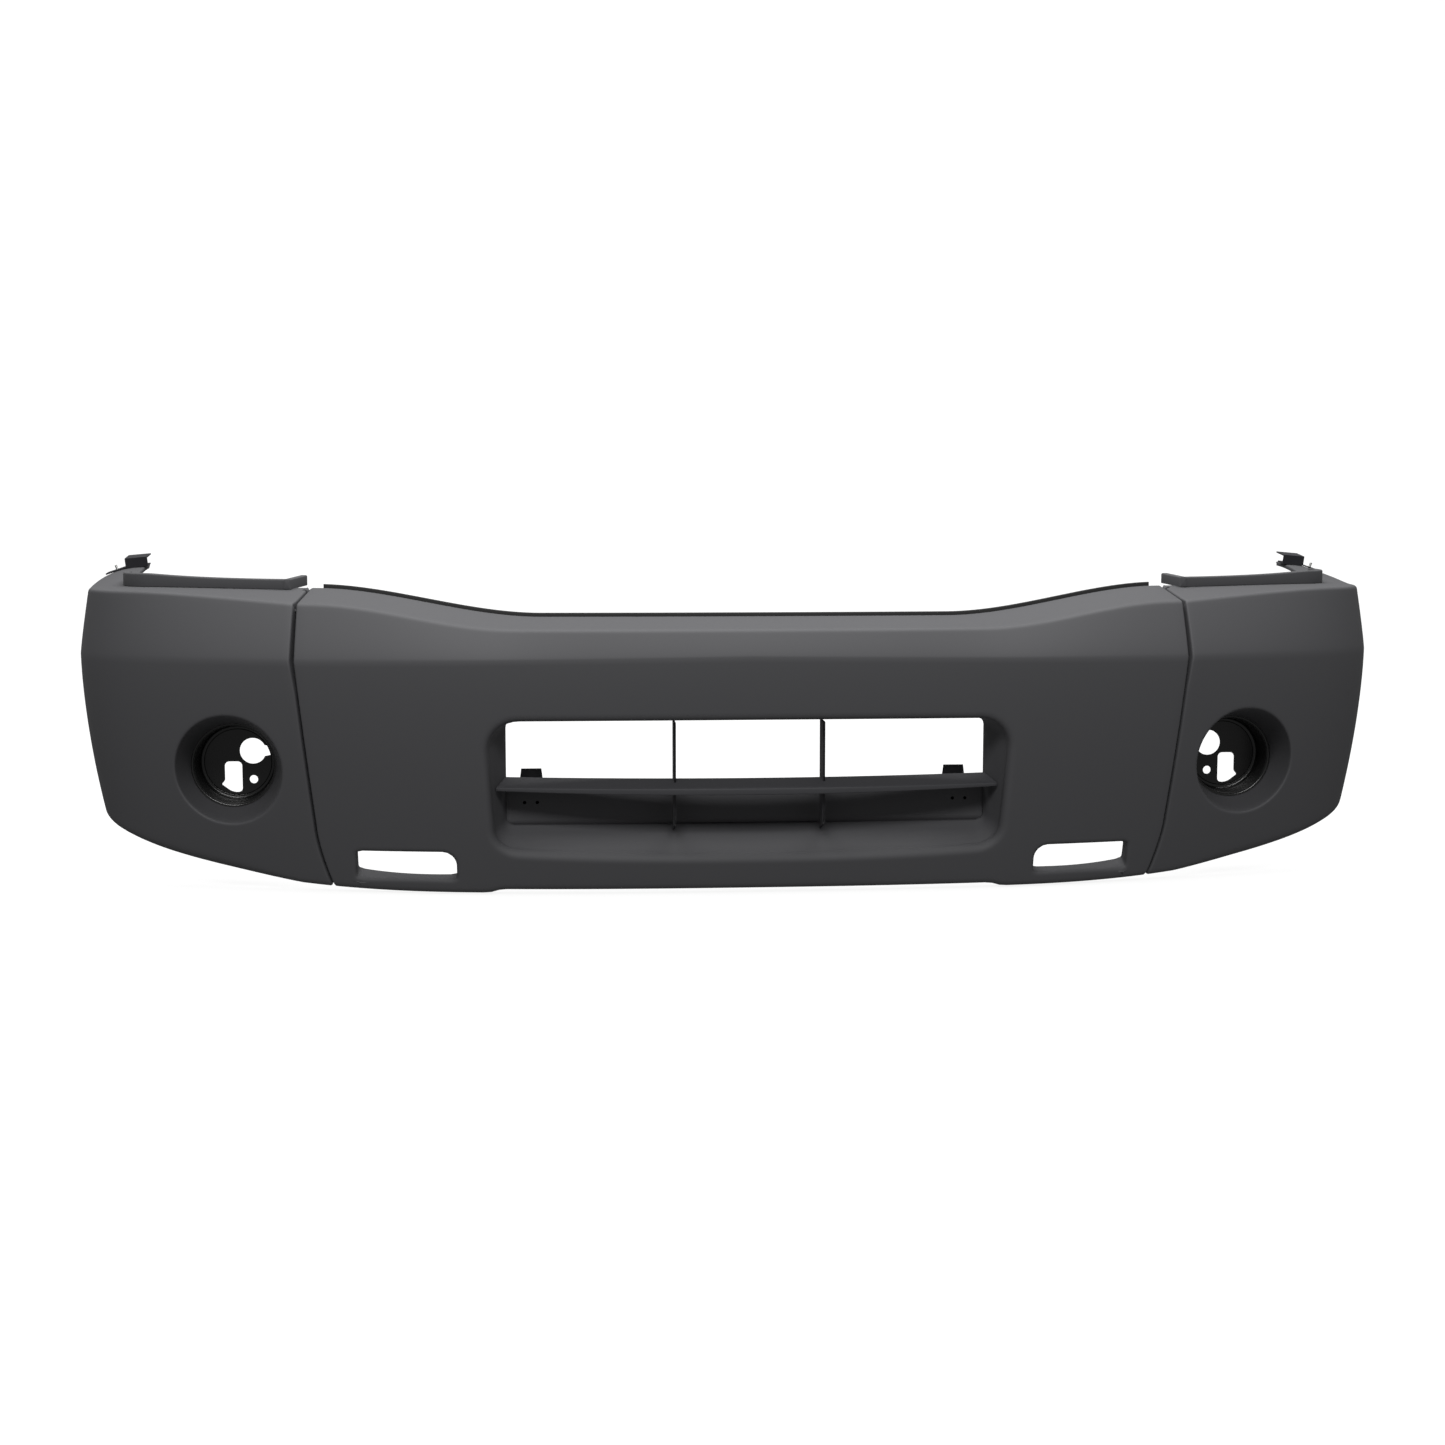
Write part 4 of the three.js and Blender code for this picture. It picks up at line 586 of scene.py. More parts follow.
def tow_corners(y, grow):
    """The hole's four corners; the sill slopes up from a level line at the skin."""
    flat = np.ones(len(y))
    inner, outer = TOW_INNER - grow, TOW_OUTER + grow
    deep = [np.clip((y - centre_find(np.array([[x, TOW_SILL_FRONT]]))[1]) / TOW_DEPTH, 0, 1)
            for x in (inner, outer)]
    corners = [(inner, mix(TOW_SILL_FRONT, TOW_SILL_INNER, deep[0]) - grow),
               (outer, mix(TOW_SILL_FRONT, TOW_SILL_OUTER, deep[1]) - grow),
               (outer, TOW_TOP + grow), (inner, TOW_TOP + grow)]
    radii = [TOW_SMALL_CORNER, TOW_SMALL_CORNER, TOW_SMALL_CORNER, TOW_CORNER]
    return ([np.stack([flat * x, flat * z], -1) for x, z in corners],
            [(flat * (r + grow))[:, None] for r in radii])


def four_sided(corners_at):
    """Outline points of a four-sided hole, with its size taken at each point's own depth."""
    def at(side, share, y, grow):
        out = np.zeros((len(side), 2))
        for k in range(4):
            pick = side == k
            corners, radii = corners_at(y[pick], grow)
            out[pick] = side_points(k, share[pick], corners, radii)
        return out
    return at


def cone_radius(y):
    """Funnel radius, which falls in proportion to the depth."""
    slope = (FUNNEL_MOUTH - FUNNEL_END_RADIUS) / (FUNNEL_BACK - FUNNEL_MOUTH_AT)
    return FUNNEL_END_RADIUS + slope * (FUNNEL_BACK - y)


def fog_circle(side, share, y, grow):
    """Circle round the lamp's axis; each of four sides is a quarter turn from its lower left."""
    angle = np.radians(225 + 90 * (side + share))
    r = cone_radius(y) + grow
    return np.stack([FOG_X + r * np.cos(angle), FOG_Z + r * np.sin(angle)], -1)


def funnel_lip(side, share):
    """The flat ring round the rear of the funnel that the pocket is screwed to."""
    angle = np.radians(225 + 90 * (side + share))
    for r in np.linspace(FUNNEL_END_RADIUS + 1.5, FUNNEL_END_RADIUS + FUNNEL_LIP, 4):
        x, z = FOG_X + r * np.cos(angle), FOG_Z + r * np.sin(angle)
        yield np.stack([x, FUNNEL_BACK + 0 * angle, z], -1)


def skin_grid(s, crease):
    """Points of the skin, each column a section at its path position."""
    inward, z = section_curve(section_at(np.abs(s)), ROWS[:, None], crease)
    return lift_point(s, inward, z), z


def centre_sheet(sizes):
    """Half sections of the cover set side by side across its width, with the intake and the two
    tow-hook openings let into the lower face, and a flange turned back along each seam."""
    crease, edge = sizes.crease_radius * 1000, sizes.edge_radius * 1000
    border = seam_edge(crease)[:, None] - SEAM_GAP - edge
    share = np.linspace(0, 1, SEAM_COLUMNS + 1)[1:]
    right = mix(COLUMNS[-1], border, share[None, :])
    fixed = np.broadcast_to(COLUMNS, (len(ROWS), len(COLUMNS)))
    s = np.concatenate([-right[:, ::-1], fixed, right], 1)
    p, z = skin_grid(s, crease)
    column = {round(x): SEAM_COLUMNS + i for i, x in enumerate(COLUMNS)}
    intake = (FACE_ROW + 2, FACE_ROW + 35, column[-385], column[385])
    tow = (FACE_ROW, FACE_ROW + 9, column[396], column[572])
    tow_other = (tow[0], tow[1], column[-572], column[-396])
    sheet = Sheet()
    sheet.grid(p, holes=(intake, tow, tow_other))
    rim = sizes.rim_radius * 1000
    opening(sheet, s, z, intake, four_sided(intake_corners), centre_find,
            lambda y: 0 * y + INTAKE_BACK, rim, 18, RIM_STEP)
    other = Sheet()
    opening(other, s, z, tow, four_sided(tow_corners), centre_find, lambda y: y + TOW_DEPTH, 0.75 * rim, 6)
    sheet.copy(other)
    sheet.copy(other, mirror=True)
    for left in (False, True):
        cols, worn = edge_columns(p, edge, flange_depth(), FLANGE_CLOSE, left)
        sheet.grid(cols, worn)
    # closed wall behind the ramp
    half = INTAKE_HALF - SIDE_DRAFT * (INTAKE_BACK - SIDE_DRAFT_FROM) + BULKHEAD_OVERLAP
    low = INTAKE_BOTTOM + RAMP_SLOPE * (INTAKE_BACK - RAMP_FROM) - 1
    x, zz = np.meshgrid(np.linspace(-half, half, 60), np.linspace(low, BULKHEAD_TOP, 8))
    sheet.grid(np.stack([x, INTAKE_BACK + 0 * x, zz], -1))
    # upper mounting flange, its rear edge turned down
    back = BAND_DEPTH + UPPER_FLANGE_DEPTH
    top = section_at(0.0)["top"] - TOP_EDGE
    y = np.concatenate([np.linspace(BAND_DEPTH - 5, back - 2, 8), [back - 0.6, back, back]])
    drop = np.concatenate([np.zeros(8), [0.6, 2, 4]])
    x = np.linspace(-UPPER_FLANGE_HALF, UPPER_FLANGE_HALF, 60)
    sheet.grid(np.stack(np.broadcast_arrays(x, y[:, None], top - drop[:, None]), -1))
    return sheet


def end_sheet(sizes):
    """Sections of the left-hand end cover along its path from the seam to the wheel arch, with
    the lamp funnel let in, a seam flange, and a return along the arch."""
    crease, edge = sizes.crease_radius * 1000, sizes.edge_radius * 1000
    start = seam_edge(crease)[:, None] + SEAM_GAP + edge
    stop = arch_at(ROWS, crease)[:, None] - 1.6 * edge
    near = start + np.array([0, 5.0])[None, :]
    fog = mix(start + FOG_START, FOG_LAST, np.linspace(0, 1, FOG_COLUMNS)[None, :])
    far = mix(FOG_LAST, stop, np.linspace(0, 1, FAR_COLUMNS)[None, 1:])
    s = np.concatenate([near, fog, far], 1)
    p, z = skin_grid(s, crease)
    block = (FACE_ROW + 6, FACE_ROW + 36, 2, 1 + FOG_COLUMNS)
    sheet = Sheet()
    sheet.grid(p, holes=(block,))
    opening(sheet, s, z, block, fog_circle, end_find, lambda y: 0 * y + FUNNEL_BACK,
            sizes.edge_radius * 1300, 12, extra=funnel_lip)
    cols, worn = edge_columns(p, edge, flange_depth(), FLANGE_CLOSE, True)
    sheet.grid(cols, worn)
    arch = 4.0 + 16.0 * smooth((ROWS - 1.9) / 0.4) * (1 - smooth((ROWS - 3.6) / 0.5))
    cols, worn = edge_columns(p, edge, arch)
    sheet.grid(cols, worn)
    return sheet


# ---- vane, filler, strip ----
def vane_edges(f):
    """Front and rear edge of the shelf at share f of its half width: the ends sweep back."""
    front = VANE_FRONT + VANE_SWEEP * f * f
    ends = VANE_FRONT + VANE_SWEEP
    half = INTAKE_HALF - SIDE_DRAFT * (ends - SIDE_DRAFT_FROM) - FIT_GAP
    rear_half = half - SIDE_DRAFT * VANE_DEPTH
    return front, f * (half - 1), f * (rear_half - 1)


def vane_sheet():
    """A shelf with a lip along its front edge, two upright fins and two tongues: each a rounded
    outline in the depth and height plane, carried across the width."""
    sheet = Sheet()
    rings = []
    for f in np.linspace(-1, 1, 121):
        front, x_front, x_back = vane_edges(f)
        z0, z1, back = VANE_HEIGHT, VANE_HEIGHT + VANE_TILT, front + VANE_DEPTH
        drop = mix(VANE_LIP, VANE_LIP_END, f * f)
        slope = VANE_TILT / VANE_DEPTH
        thick = VANE_LIP_THICK
        corners = [(front, z0), (front, z0 - drop), (front + thick, z0 - drop),
                   (front + thick, z0 - VANE_THICK + slope * thick), (back, z1 - VANE_THICK), (back, z1)]
        loop = rounded_loop(corners, [1.6, 1.2, 1.2, 0.8, 1.2, 1.2], 4)
        x = mix(x_front, x_back, (loop[:, 0] - front) / VANE_DEPTH)
        rings.append(np.stack([x, loop[:, 0], loop[:, 1]], -1))
    loft(sheet, rings, 0.6)
    top = INTAKE_TOP - ROOF_DRAFT * FIN_BACK - FIT_GAP
    heel = INTAKE_BOTTOM + RAMP_SLOPE * (FIN_BACK - RAMP_FROM) + 2 * FIT_GAP
    fin = rounded_loop([(FIN_FRONT, FIN_FOOT), (FIN_BACK, heel), (FIN_BACK, top), (FIN_FRONT, top)], 2.0, 5)
    ends = VANE_FRONT + VANE_SWEEP
    half = INTAKE_HALF - SIDE_DRAFT * (ends - SIDE_DRAFT_FROM) - FIT_GAP
    front = VANE_FRONT + VANE_SWEEP * (TONGUE_X / half) ** 2
    back, low = front + VANE_DEPTH, BULKHEAD_TOP + FIT_GAP
    slope = VANE_TILT / VANE_DEPTH
    tongue = rounded_loop([(back - 6, VANE_HEIGHT + slope * (VANE_DEPTH - 6) - VANE_THICK / 2),
                           (INTAKE_BACK - 1, low), (TONGUE_BACK, low), (TONGUE_BACK, low + VANE_THICK),
                           (INTAKE_BACK, low + VANE_THICK),
                            (back - 2, VANE_HEIGHT + slope * (VANE_DEPTH - 2))],
                          [0.5, 1.5, 1.2, 1.2, 1.5, 0.5], 4)
    for side in (-1, 1):
        for loop, x0, wide, cap in ((fin, FIN_X, FIN_THICK, 0.8), (tongue, TONGUE_X, TONGUE_WIDTH, 0.8)):
            x = side * x0 + wide * np.array([-0.5, -0.3, 0.3, 0.5])
            loft(sheet, [np.stack([np.full(len(loop), at), loop[:, 0], loop[:, 1]], -1) for at in x], cap)
    return sheet


def band_height(p, inward):
    """Height of the top band at a setback."""
    g = (inward - p["crease_in"]) / (p["top_in"] - p["crease_in"])
    return mix(p["crease"], p["top"], g) + p["crown"] * np.sin(np.pi * np.clip(g, 0, 1))


def filler_sheet():
    """A rail whose foot follows the top band, with a rounded outer end and a block that turns
    back at its inner end."""
    sheet = Sheet()
    rings = []
    last = SEAM_HALF + FILLER_END
    straight = np.linspace(SEAM_HALF + FILLER_START, last - FILLER_NOSE, 90)
    stations = np.concatenate([straight, last - FILLER_NOSE * (1 - np.linspace(0, 1, 9)[1:])])
    for s in stations:
        p = section_at(s)
        front = p["top_in"] - FILLER_INSET
        back = front + FILLER_THICK
        top = FILLER_TOP + FILLER_CLIMB * smooth(p["t"] / 0.45)
        foot = band_height(p, front) + FILLER_LIFT
        heel = band_height(p, back) + FILLER_LIFT
        round_off = np.sqrt(max(0.0, 1 - max(0.0, 1 - (last - s) / FILLER_NOSE) ** 2))
        top = mix(max(foot, heel) + 2.5, top, round_off)
        front = mix(back - 2.5, front, round_off)
        loop = rounded_loop([(front, foot), (back, heel), (back, top), (front, top)], [0.8, 0.8, 2.0, 2.6], 4)
        x, y, in_x, in_y, _ = nose_line(s)
        rings.append(np.stack([x + loop[:, 0] * in_x, y + loop[:, 0] * in_y, loop[:, 1]], -1))
    loft(sheet, rings, 0.9)
    p = section_at(SEAM_HALF + FILLER_START)
    front = p["top_in"] - FILLER_INSET
    foot, top = float(band_height(p, front)) + FILLER_LIFT, FILLER_TOP
    x0, y0 = float(p["x"]), float(p["y"]) + float(front)
    rings = []
    for f in np.linspace(0, 1, 12):
        rise = FILLER_RETURN_RISE * f
        x = x0 - FILLER_LEAN * f
        loop = rounded_loop([(x, foot + rise), (x + FILLER_THICK, foot + rise),
                             (x + FILLER_THICK, top + rise), (x, top + rise)], [0.8, 0.8, 2.2, 2.2], 4)
        rings.append(np.stack([loop[:, 0], np.full(len(loop), y0 + FILLER_RETURN * f), loop[:, 1]], -1))
    loft(sheet, rings, 0.9)
    return sheet


def strip_sheet():
    """An angle strip behind the top band: a flat leg and a low upright lip, carried along it."""
    sheet = Sheet()
    low = FIT_GAP - TOP_EDGE
    high = low + STRIP_THICK
    corners = [(0, low), (STRIP_DEPTH, low), (STRIP_DEPTH, high), (STRIP_LIP_THICK, high),
               (STRIP_LIP_THICK, STRIP_LIP), (0, STRIP_LIP)]
    loop = rounded_loop(corners, [0.6, 0.9, 0.9, 0.8, 1.3, 1.3], 4)
    rings = []
    for x in np.linspace(-STRIP_HALF, STRIP_HALF, 181):
        p = section_at(abs(x))
        rings.append(np.stack([np.full(len(loop), x), p["y"] + BAND_DEPTH + STRIP_CLEAR + loop[:, 0],
                               p["top"] + loop[:, 1]], -1))
    loft(sheet, rings, 0.8)
    return sheet


# ---- lamp pocket ----
def cup_sheet():
    """The pocket's screwed rim and round wall: a profile of radius and depth turned about the
    lamp's axis, with rounded corners."""
    front = FUNNEL_BACK + FIT_GAP
    inner = CUP_BACK - CUP_WALL
    corners = [(FUNNEL_END_RADIUS + FUNNEL_LIP - FIT_GAP, front), (CUP_RADIUS + 3, front),
               (CUP_RADIUS, inner), (CUP_RADIUS - 6, inner)]
    path = [corners[0]]
    for before, corner, after, r in zip(corners, corners[1:], corners[2:], (3.0, 4.0)):
        a = np.array(corner) + unit(np.subtract(before, corner)) * r
        c = np.array(corner) + unit(np.subtract(after, corner)) * r
        path += [bend(a, np.array(corner), c, f) for f in np.linspace(0, 1, 7)]
    path.append(corners[-1])
    path = np.array(path)
    dense = [path[0]]
    for a, b in zip(path, path[1:]):
        n = max(1, int(np.hypot(*(b - a)) / 3))
        dense += [mix(a, b, k / n) for k in range(1, n + 1)]
    sheet = Sheet()
    lathe(sheet, dense, (FOG_X, 0, FOG_Z), sides=128)
    return sheet


def flat_curve(name, loops, thickness, bevel):
    """A plate with holes: a filled flat curve, thickened and bevelled, then made a mesh."""
    curve = bpy.data.curves.new(name, "CURVE")
    curve.dimensions, curve.fill_mode = "2D", "BOTH"
    curve.extrude, curve.bevel_depth = thickness / 2000 - bevel / 1000, bevel / 1000
    curve.bevel_resolution = 2
    for loop in loops:
        spline = curve.splines.new("POLY")
        spline.points.add(len(loop) - 1)
        spline.use_cyclic_u = True
        flat = np.zeros((len(loop), 4))
        flat[:, :2], flat[:, 3] = np.asarray(loop) / 1000, 1
        spline.points.foreach_set("co", flat.ravel())
    shape = bpy.data.objects.new(name, curve)
    bpy.context.scene.collection.objects.link(shape)
    bpy.context.view_layer.update()
    mesh = bpy.data.meshes.new_from_object(shape.evaluated_get(bpy.context.evaluated_depsgraph_get()))
    bpy.data.objects.remove(shape)
    return mesh


def arc_loop(x, z, radius, count=72, start=0, stop=360):
    """Points on a circular arc, evenly spaced by angle in degrees."""
    a = np.radians(np.linspace(start, stop, count, endpoint=stop - start != 360))
    return np.stack([x + radius * np.cos(a), z + radius * np.sin(a)], -1)


def slot_loop():
    """Keyhole-shaped slot: a rounded outline with a step out at its lower right."""
    w, h = SLOT_HALF_WIDTH, SLOT_HALF_HEIGHT
    x, z = SLOT
    corners = [(-w, -h + 1), (1, -h - 1), (w + 5, -h + 12), (w, -h + 18), (w, h), (-w, h)]
    return rounded_loop([(x + a, z + b) for a, b in corners], [5, 8, 1.5, 2, 7, 7], 6)


def lamp_hole_loop():
    """A round hole with a notch towards the middle of the vehicle, for the plug's key."""
    x, z = LAMP_HOLE
    ring = arc_loop(x, z, LAMP_HOLE_RADIUS, 60, 205, 515)
    notch = [(x - 21.0, z + 8.0), (x - 29.5, z - 5.5)]
    return np.concatenate([ring, [notch[0]], [notch[1]]])


# ---- fasteners ----
def node_points(node):
    """The corners of a CAD node in bench millimetres."""
    mesh = frame["nodes"][node].data
    flat = np.zeros(3 * len(mesh.vertices))
    mesh.vertices.foreach_get("co", flat)
    return flat.reshape(-1, 3) * 1000 + ORIGIN


def broad_axis(node):
    """The normal that the greatest area of flat faces shares, either way round."""
    mesh = frame["nodes"][node].data
    count = len(mesh.polygons)
    normals, areas = np.zeros(3 * count), np.zeros(count)
    mesh.polygons.foreach_get("normal", normals)
    mesh.polygons.foreach_get("area", areas)
    normals = normals.reshape(-1, 3)
    return unit(normals[np.argmax((np.abs(normals @ normals.T) > 0.999) @ areas)])


def fastener_frame(node):
    """Seat, direction and length of a screw: its axis is the normal of its broadest flat faces, and
    it points from the wide head to the narrow tip."""
    axis = broad_axis(node)
    p = node_points(node)
    along = p @ axis
    centre = p - along[:, None] * axis
    middle = (centre.max(0) + centre.min(0)) / 2
    away = np.linalg.norm(centre - middle, axis=1)
    wide = away > 0.8 * away.max()
    if along[wide].mean() > along.mean():
        axis, along = -axis, -along
    seat = along[wide].max()
    base = middle - (middle @ axis) * axis + seat * axis
    return base, axis, away.max(), seat - along[wide].min(), along.max() - seat


def screw_sheet(node, shank):
    """A flanged hexagon head with a chamfered top and a threaded shank: rings of radius along the
    axis, made hexagonal by the angle, with the thread as a wave that turns once per pitch."""
    base, axis, head, thick, length = fastener_frame(node)
    flange = 0.28 * thick
    rows = [(0.0, -thick), (0.62 * head, -thick), (0.80 * head, -thick + 0.25), (0.9 * head, -thick + 0.75),
            (0.9 * head, -flange - 0.5), (0.93 * head, -flange - 0.1), (0.97 * head, -flange),
            (0.995 * head, -0.6 * flange), (0.985 * head, -0.1), (0.9 * head, 0.0), (shank + 0.3, 0.0),
            (shank, 0.3)]
    hexed = [0, 0, 0.4, 1, 1, 0.6, 0, 0, 0, 0, 0, 0]
    pitch = 0.34 * shank + 0.25
    turns = np.arange(0.3, max(0.6, length - 0.8), pitch / 6)[1:]
    rows += [(shank, at) for at in turns] + [(shank, length - 0.7), (shank - 0.6, length), (0.0, length)]
    mask = [0] * 12 + [1] * len(turns) + [0, 0, 0]
    hexed += [0] * (len(turns) + 3)
    sheet = Sheet()
    lathe(sheet, rows, base, axis, 48, hexed, (pitch, 0.28 * pitch + 0.1, mask))
    return sheet


def nut_sheet(node, bore):
    """A hexagon nut with chamfered corners and a bore."""
    p = node_points(node)
    centre = p.mean(0)
    axis = broad_axis(node)
    half = np.abs((p - centre) @ axis).max()
    out = np.linalg.norm(np.cross(p - centre, axis), axis=1).max()
    rows = [(bore, -half + 0.5), (bore + 0.6, -half), (0.78 * out, -half), (0.97 * out, -half + 0.7),
            (0.97 * out, half - 0.7), (0.78 * out, half), (bore + 0.6, half), (bore, half - 0.5),
            (bore, -half + 0.5)]
    sheet = Sheet()
    lathe(sheet, rows, centre, axis, 60, [0, 0, 0.2, 1, 1, 0.2, 0, 0, 0])
    return sheet


def retainer_body_sheet(x, y, z):
    """A push retainer's body: a dished washer and a barrel with three grip rings."""
    barrel = [(4.0 - 0.35 * (k % 2), -1.5 - 1.5 * k) for k in range(8)]
    rows = [(2.2, 1.0), (5.6, 1.0), (6.4, 1.3), (6.6, 2.5), (7.2, 2.6), (9.3, 2.2), (9.9, 1.5), (10.0, 0.5),
            (9.7, 0.0), (4.2, 0.0), *barrel, (3.4, -15.5), (3.0, -17.0), (2.2, -17.0), (2.2, 1.0)]
    sheet = Sheet()
    lathe(sheet, rows, (x, y, z), (0, 0, 1), 64)
    return sheet


def retainer_pin_sheet(x, y, z):
    """The retainer's pin: a domed button on a plain stem with a pointed tip."""
    rows = [(0.0, 3.0), (3.0, 2.95), (4.8, 2.7), (5.6, 2.3), (5.95, 1.8), (5.9, 1.35),
            (PIN_RADIUS + 0.3, 1.3), (PIN_RADIUS, 1.0), (PIN_RADIUS, -8.0), (PIN_RADIUS, -15.0),
            (1.2, -15.8), (0.0, -16.0)]
    sheet = Sheet()
    lathe(sheet, rows, (x, y, z), (0, 0, 1), 48)
    return sheet


def pressed_copy(node, name, material, width):
    """A pressed steel piece: its solid with merged corners and softened edges."""
    mesh = frame["nodes"][node].data.copy()
    mesh.materials.clear()
    mesh.materials.append(material)
    work = bmesh.new()
    work.from_mesh(mesh)
    bmesh.ops.remove_doubles(work, verts=work.verts, dist=2e-5)
    bmesh.ops.dissolve_limit(work, angle_limit=0.01, verts=work.verts, edges=work.edges)
    for edge in work.edges:
        edge.smooth = True
    work.to_mesh(mesh)
    work.free()
    mesh.polygons.foreach_set("use_smooth", np.ones(len(mesh.polygons), bool))
    made = bpy.data.objects.new(name, mesh)
    bpy.context.scene.collection.objects.link(made)
    soften(made, width)
    weigh = made.modifiers.new("shade", "WEIGHTED_NORMAL")
    weigh.keep_sharp = False
    return made


# ---- materials ----
class Wire:
    """A number on a shader wire, with arithmetic that adds Math nodes."""

    def __init__(self, tree, socket):
        self.tree, self.socket = tree, socket

    def math(self, operation, *values):
        node = self.tree.nodes.new("ShaderNodeMath")
        node.operation = operation
        for slot, value in zip(node.inputs, values):
            if isinstance(value, Wire):
                self.tree.links.new(value.socket, slot)
            else:
                slot.default_value = value
        return Wire(self.tree, node.outputs[0])

    def __add__(self, other):
        return self.math("ADD", self, other)

    def __radd__(self, other):
        return self.math("ADD", other, self)

    def __sub__(self, other):
        return self.math("SUBTRACT", self, other)

    def __rsub__(self, other):
        return self.math("SUBTRACT", other, self)

    def __mul__(self, other):
        return self.math("MULTIPLY", self, other)

    def __rmul__(self, other):
        return self.math("MULTIPLY", other, self)

    def __pow__(self, other):
        return self.math("POWER", self, other)

    def clamp(self):
        return self.math("MINIMUM", self.math("MAXIMUM", self, 0.0), 1.0)


class Finish:
    """A material and its Principled shader."""

    def __init__(self, name):
        self.material = bpy.data.materials.new(name)
        self.material.use_nodes = True
        self.tree = self.material.node_tree
        self.shader = next(n for n in self.tree.nodes if n.type == "BSDF_PRINCIPLED")
        self.place = self.node("ShaderNodeTexCoord", {}, out="Object")

    def node(self, kind, settings, out=0, **values):
        made = self.tree.nodes.new(kind)
        for key, value in settings.items():
            setattr(made, key, value)
        for key, value in values.items():
            slot = made.inputs[key.replace("_", " ")]
            if isinstance(value, Wire):
                self.tree.links.new(value.socket, slot)
            else:
                slot.default_value = value
        return Wire(self.tree, made.outputs[out])

    def noise(self, scale, detail=3.0, rough=0.5, place=None):
        return self.node("ShaderNodeTexNoise", {}, Vector=place or self.place, Scale=scale, Detail=detail,
                         Roughness=rough)

    def cells(self, scale, feature="F1", out="Distance"):
        return self.node("ShaderNodeTexVoronoi", {"feature": feature}, out=out, Vector=self.place,
                         Scale=scale)

    # mask of the rounded edges, where the finish is rubbed and lightened as painted highlight
    def worn(self):
        return self.node("ShaderNodeAttribute", {"attribute_name": "worn"}, out="Fac")

    def stretched(self, scale):
        made = self.tree.nodes.new("ShaderNodeMapping")
        made.inputs["Scale"].default_value = scale
        self.tree.links.new(self.place.socket, made.inputs["Vector"])
        return Wire(self.tree, made.outputs[0])

    def blend(self, share, a, b):
        """Mixes two colours; each is a colour or a wire."""
        made = self.tree.nodes.new("ShaderNodeMix")
        made.data_type = "RGBA"
        slots = {"share": made.inputs[0], "a": made.inputs[6], "b": made.inputs[7]}
        for key, value in (("share", share), ("a", a), ("b", b)):
            if isinstance(value, Wire):
                self.tree.links.new(value.socket, slots[key])
            else:
                slots[key].default_value = value if key == "share" else (*value[:3], 1.0)
        return Wire(self.tree, made.outputs[2])

    def bump(self, height, strength, distance, below=None):
        made = self.tree.nodes.new("ShaderNodeBump")
        made.inputs["Strength"].default_value = strength
        made.inputs["Distance"].default_value = distance
        self.tree.links.new(height.socket, made.inputs["Height"])
        if below is not None:
            self.tree.links.new(below.socket, made.inputs["Normal"])
        return Wire(self.tree, made.outputs[0])

    def feed(self, **values):
        for key, value in values.items():
            slot = self.shader.inputs[key.replace("_", " ")]
            if isinstance(value, Wire):
                self.tree.links.new(value.socket, slot)
            else:
                slot.default_value = value


def tint(colour, k):
    """The colour times k, held below white."""
    return tuple(min(1.0, c * k) for c in colour[:3])


def moulded_plastic(name, colour, roughness, grain, grain_size, specular=0.5):
    """Moulded-in colour with a fine pebbled grain, cloudy tone and faint dust; the rounded edges are rubbed
    glossier and their tone lightened, partly as wear and partly as painted highlight.
    """
    finish = Finish(name)
    pebbles = finish.cells(1.0 / grain_size, "SMOOTH_F1")
    fine = finish.noise(2.4 / grain_size, 3.0, 0.6)
    cloud = finish.noise(3.2, 4.0, 0.55)
    patches = finish.noise(17.0, 5.0, 0.6)
    speck = finish.noise(900.0, 2.0, 0.7)
    worn = finish.worn()
    tone = finish.blend((cloud * 1.6 - 0.3).clamp(), tint(colour, 0.88), tint(colour, 1.14))
    tone = finish.blend((patches * 2.4 - 1.0).clamp() * 0.35, tone, tint(colour, 1.32))
    tone = finish.blend((speck * 4.0 - 2.3).clamp() * 0.4, tone, tint(colour, 1.8))
    # painted highlight: the rounded edges are lightened in patches, partly as rubbed wear and partly standing
    # in for the light caught along the rims
    tone = finish.blend(worn * (patches * 1.2).clamp() * 0.45, tone, tint(colour, 1.75))
    rough = roughness + 0.12 * (cloud - 0.5) + 0.10 * (patches - 0.5) - 0.14 * worn + 0.05 * (fine - 0.5)
    height = pebbles * 0.7 + fine * 0.4
    soft = finish.bump(finish.noise(9.0, 2.0), 0.12, 0.002)
    finish.feed(Base_Color=tone, Roughness=rough.clamp(), Specular_IOR_Level=specular,
                Normal=finish.bump(height, grain, 0.00025, soft))
    return finish.material


def coated_steel(name, colour):
    """Black coating over pressed steel: slightly pitted, cloudy in tone, and rubbed thin to grey metal in
    streaky scuffs.
    """
    finish = Finish(name)
    pits = finish.noise(420.0, 3.0, 0.6)
    cloud = finish.noise(28.0, 4.0, 0.55)
    scuff = (finish.noise(120.0, 5.0, 0.7, finish.stretched((1.0, 1.0, 4.0))) * 5.0 - 3.1).clamp()
    tone = finish.blend(cloud, tint(colour, 0.7), tint(colour, 1.5))
    tone = finish.blend(scuff * 0.5, tone, (0.16, 0.15, 0.145))
    rough = 0.38 + 0.3 * (cloud - 0.5) + 0.15 * scuff
    finish.feed(Base_Color=tone, Metallic=scuff * 0.5, Roughness=rough.clamp(), Coat_Weight=0.2,
                Normal=finish.bump(pits, 0.35, 0.0002))
    return finish.material


